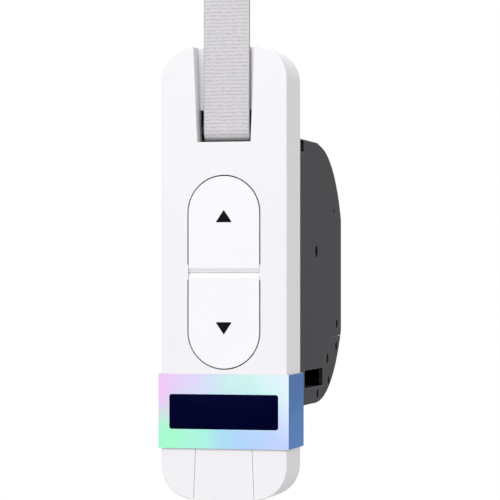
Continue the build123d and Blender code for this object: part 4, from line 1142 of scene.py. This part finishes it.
@dataclass
class Studio:
    """Pale floor, soft light and the photograph's camera.

    Attributes:
        floor_z: height of the floor, well below the winder, which hangs on a wall.
        floor_radius: its radius.
        floor_grid: how many circles it has, and how many points each.
        fade: distances from its middle where it starts to fade and where it is white.
        paint: colour of its paint.
        ambient: strength of the soft light from all round.
        sky_gain: how much stronger it is from straight above, and weaker from below.
        lamps: the softboxes, high in front and above: name, place, length of the sides and watts.
        camera_place: the camera's place.
        camera_turn: how far it looks to the left of straight ahead, in degrees.
        lens: its focal length on a 36 mm wide sensor.
        rise: its upward shift.
    """

    floor_z: float = -330.0
    floor_radius: float = 700.0
    floor_grid: tuple[int, int] = (8, 64)
    fade: Pair = (200.0, 630.0)
    paint: str = "c6c6c8"
    ambient: float = 0.57
    sky_gain: float = 0.38
    lamps: tuple[tuple[str, Place, float, float], ...] = (
        ("key_softbox", (-150.0, -1450.0, 800.0), 600.0, 11.7),
        ("top_softbox", (150.0, -100.0, 1400.0), 900.0, 2.0),
    )
    camera_place: Place = (254.5, -992.8, -3.05)
    camera_turn: float = 14.1
    lens: float = 173.16
    rise: float = 0.061

    def build(self) -> None:
        """Sets floor, world, lights and camera."""
        self.floor()
        self.world()
        for lamp in self.lamps:
            self.light(*lamp)
        self.camera()
        bpy.context.scene.view_settings.view_transform = "Standard"
        log.info("studio set")

    def floor(self) -> None:
        """Lays a round floor whose far part fades into plain white for the camera.

        Points lie on circles of growing radius, so the floor is a polar grid with a closed pole.
        """
        circles, around = self.floor_grid
        radius = np.linspace(0, self.floor_radius, circles + 1)[1:]
        angle = np.linspace(0, 2 * math.pi, around, endpoint=False)
        rings = np.empty((circles, around, 3))
        rings[..., 0] = radius[:, None] * np.cos(angle)
        rings[..., 1] = radius[:, None] * np.sin(angle)
        rings[..., 2] = self.floor_z
        points = np.vstack((rings.reshape(-1, 3), (0.0, 0.0, self.floor_z))) * MM
        index, quads = ring_faces(circles, around)
        pole = np.stack((np.full(around, index.size), index[0], np.roll(index[0], -1)), axis=-1)
        mesh = bpy.data.meshes.new("floor")
        mesh.from_pydata(points.tolist(), [], quads[:, ::-1].tolist() + pole.tolist())
        mesh.materials.append(self.floor_finish())
        floor = shown("floor", mesh)

    def floor_finish(self) -> bpy.types.Material:
        """Makes matt white paint, which turns to plain white light towards the floor's rim.

        Returns:
            The material.
        """
        material = bpy.data.materials.new("floor_matt_white_paint")
        tree = emptied(material)
        place = add(tree, "TexCoord", {}).outputs["Object"]
        flat = add(tree, "VectorMath", {0: place, 1: (1, 1, 0)}, operation="MULTIPLY")
        reach = add(tree, "VectorMath", {0: flat}, operation="LENGTH")
        start, full = self.fade
        limits = {"Value": reach, "From Min": start * MM, "From Max": full * MM}
        fade = add(tree, "MapRange", limits, interpolation_type="SMOOTHSTEP")
        seen = add(tree, "LightPath", {}).outputs["Is Camera Ray"]
        share = add(tree, "Math", {0: fade, 1: seen}, operation="MULTIPLY")
        paint = add(tree, "BsdfPrincipled", {"Base Color": self.paint, "Roughness": 0.9})
        white = add(tree, "Emission", {"Color": "ffffff", "Strength": 1.0})
        add(tree, "OutputMaterial", {"Surface": add(tree, "MixShader", {0: share, 1: paint, 2: white})})
        return material

    def world(self) -> None:
        """Lights the object softly, and shows plain white to the camera and to reflections."""
        world = bpy.data.worlds.new("white_studio")
        tree = emptied(world)
        path = add(tree, "LightPath", {}).outputs
        seen = path["Is Camera Ray"]
        for name in ("Is Glossy Ray", "Is Transmission Ray"):
            seen = add(tree, "Math", {0: seen, 1: path[name]}, operation="MAXIMUM")
        way = add(tree, "TexCoord", {}).outputs["Generated"]
        level = {0: add(tree, "SeparateXYZ", {0: way}).outputs["Z"], 1: self.sky_gain, 2: self.ambient}
        strength = add(tree, "Math", level, operation="MULTIPLY_ADD")
        light = add(tree, "Background", {"Color": "ffffff", "Strength": strength})
        white = add(tree, "Background", {"Color": "ffffff", "Strength": 1.0})
        add(tree, "OutputWorld", {"Surface": add(tree, "MixShader", {0: seen, 1: light, 2: white})})
        bpy.context.scene.world = world

    def light(self, name: str, place: Place, size: float, power: float) -> None:
        """Hangs a square softbox that faces the winder.

        Args:
            name: the light's name.
            place: where it hangs.
            size: length of its sides.
            power: its power in watts.
        """
        data = bpy.data.lights.new(name, "AREA")
        data.shape = "SQUARE"
        data.size = size * MM
        data.energy = power
        lamp = shown(name, data, place)
        lamp.rotation_euler = (-lamp.location).to_track_quat("-Z", "Y").to_euler()

    def camera(self) -> None:
        """Sets the camera where the photograph was taken from."""
        data = bpy.data.cameras.new("photograph_camera")
        data.lens = self.lens
        data.sensor_width = 36.0
        data.shift_y = self.rise
        data.clip_start = 0.01
        camera = shown("photograph_camera", data, self.camera_place)
        camera.rotation_euler = (math.pi / 2, 0.0, math.radians(self.camera_turn))
        bpy.context.scene.camera = camera


def main() -> None:
    """Builds the pieces in order over the CAD frame."""
    logging.basicConfig(level=logging.INFO, format="%(message)s")
    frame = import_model()
    Winder().dress(frame["nodes"])
    strap = WoundStrap()
    strap.run(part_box("strap_run")[1].z / MM)
    strap.roll()
    Print().build()
    Studio().build()


if __name__ == "__main__":
    main()
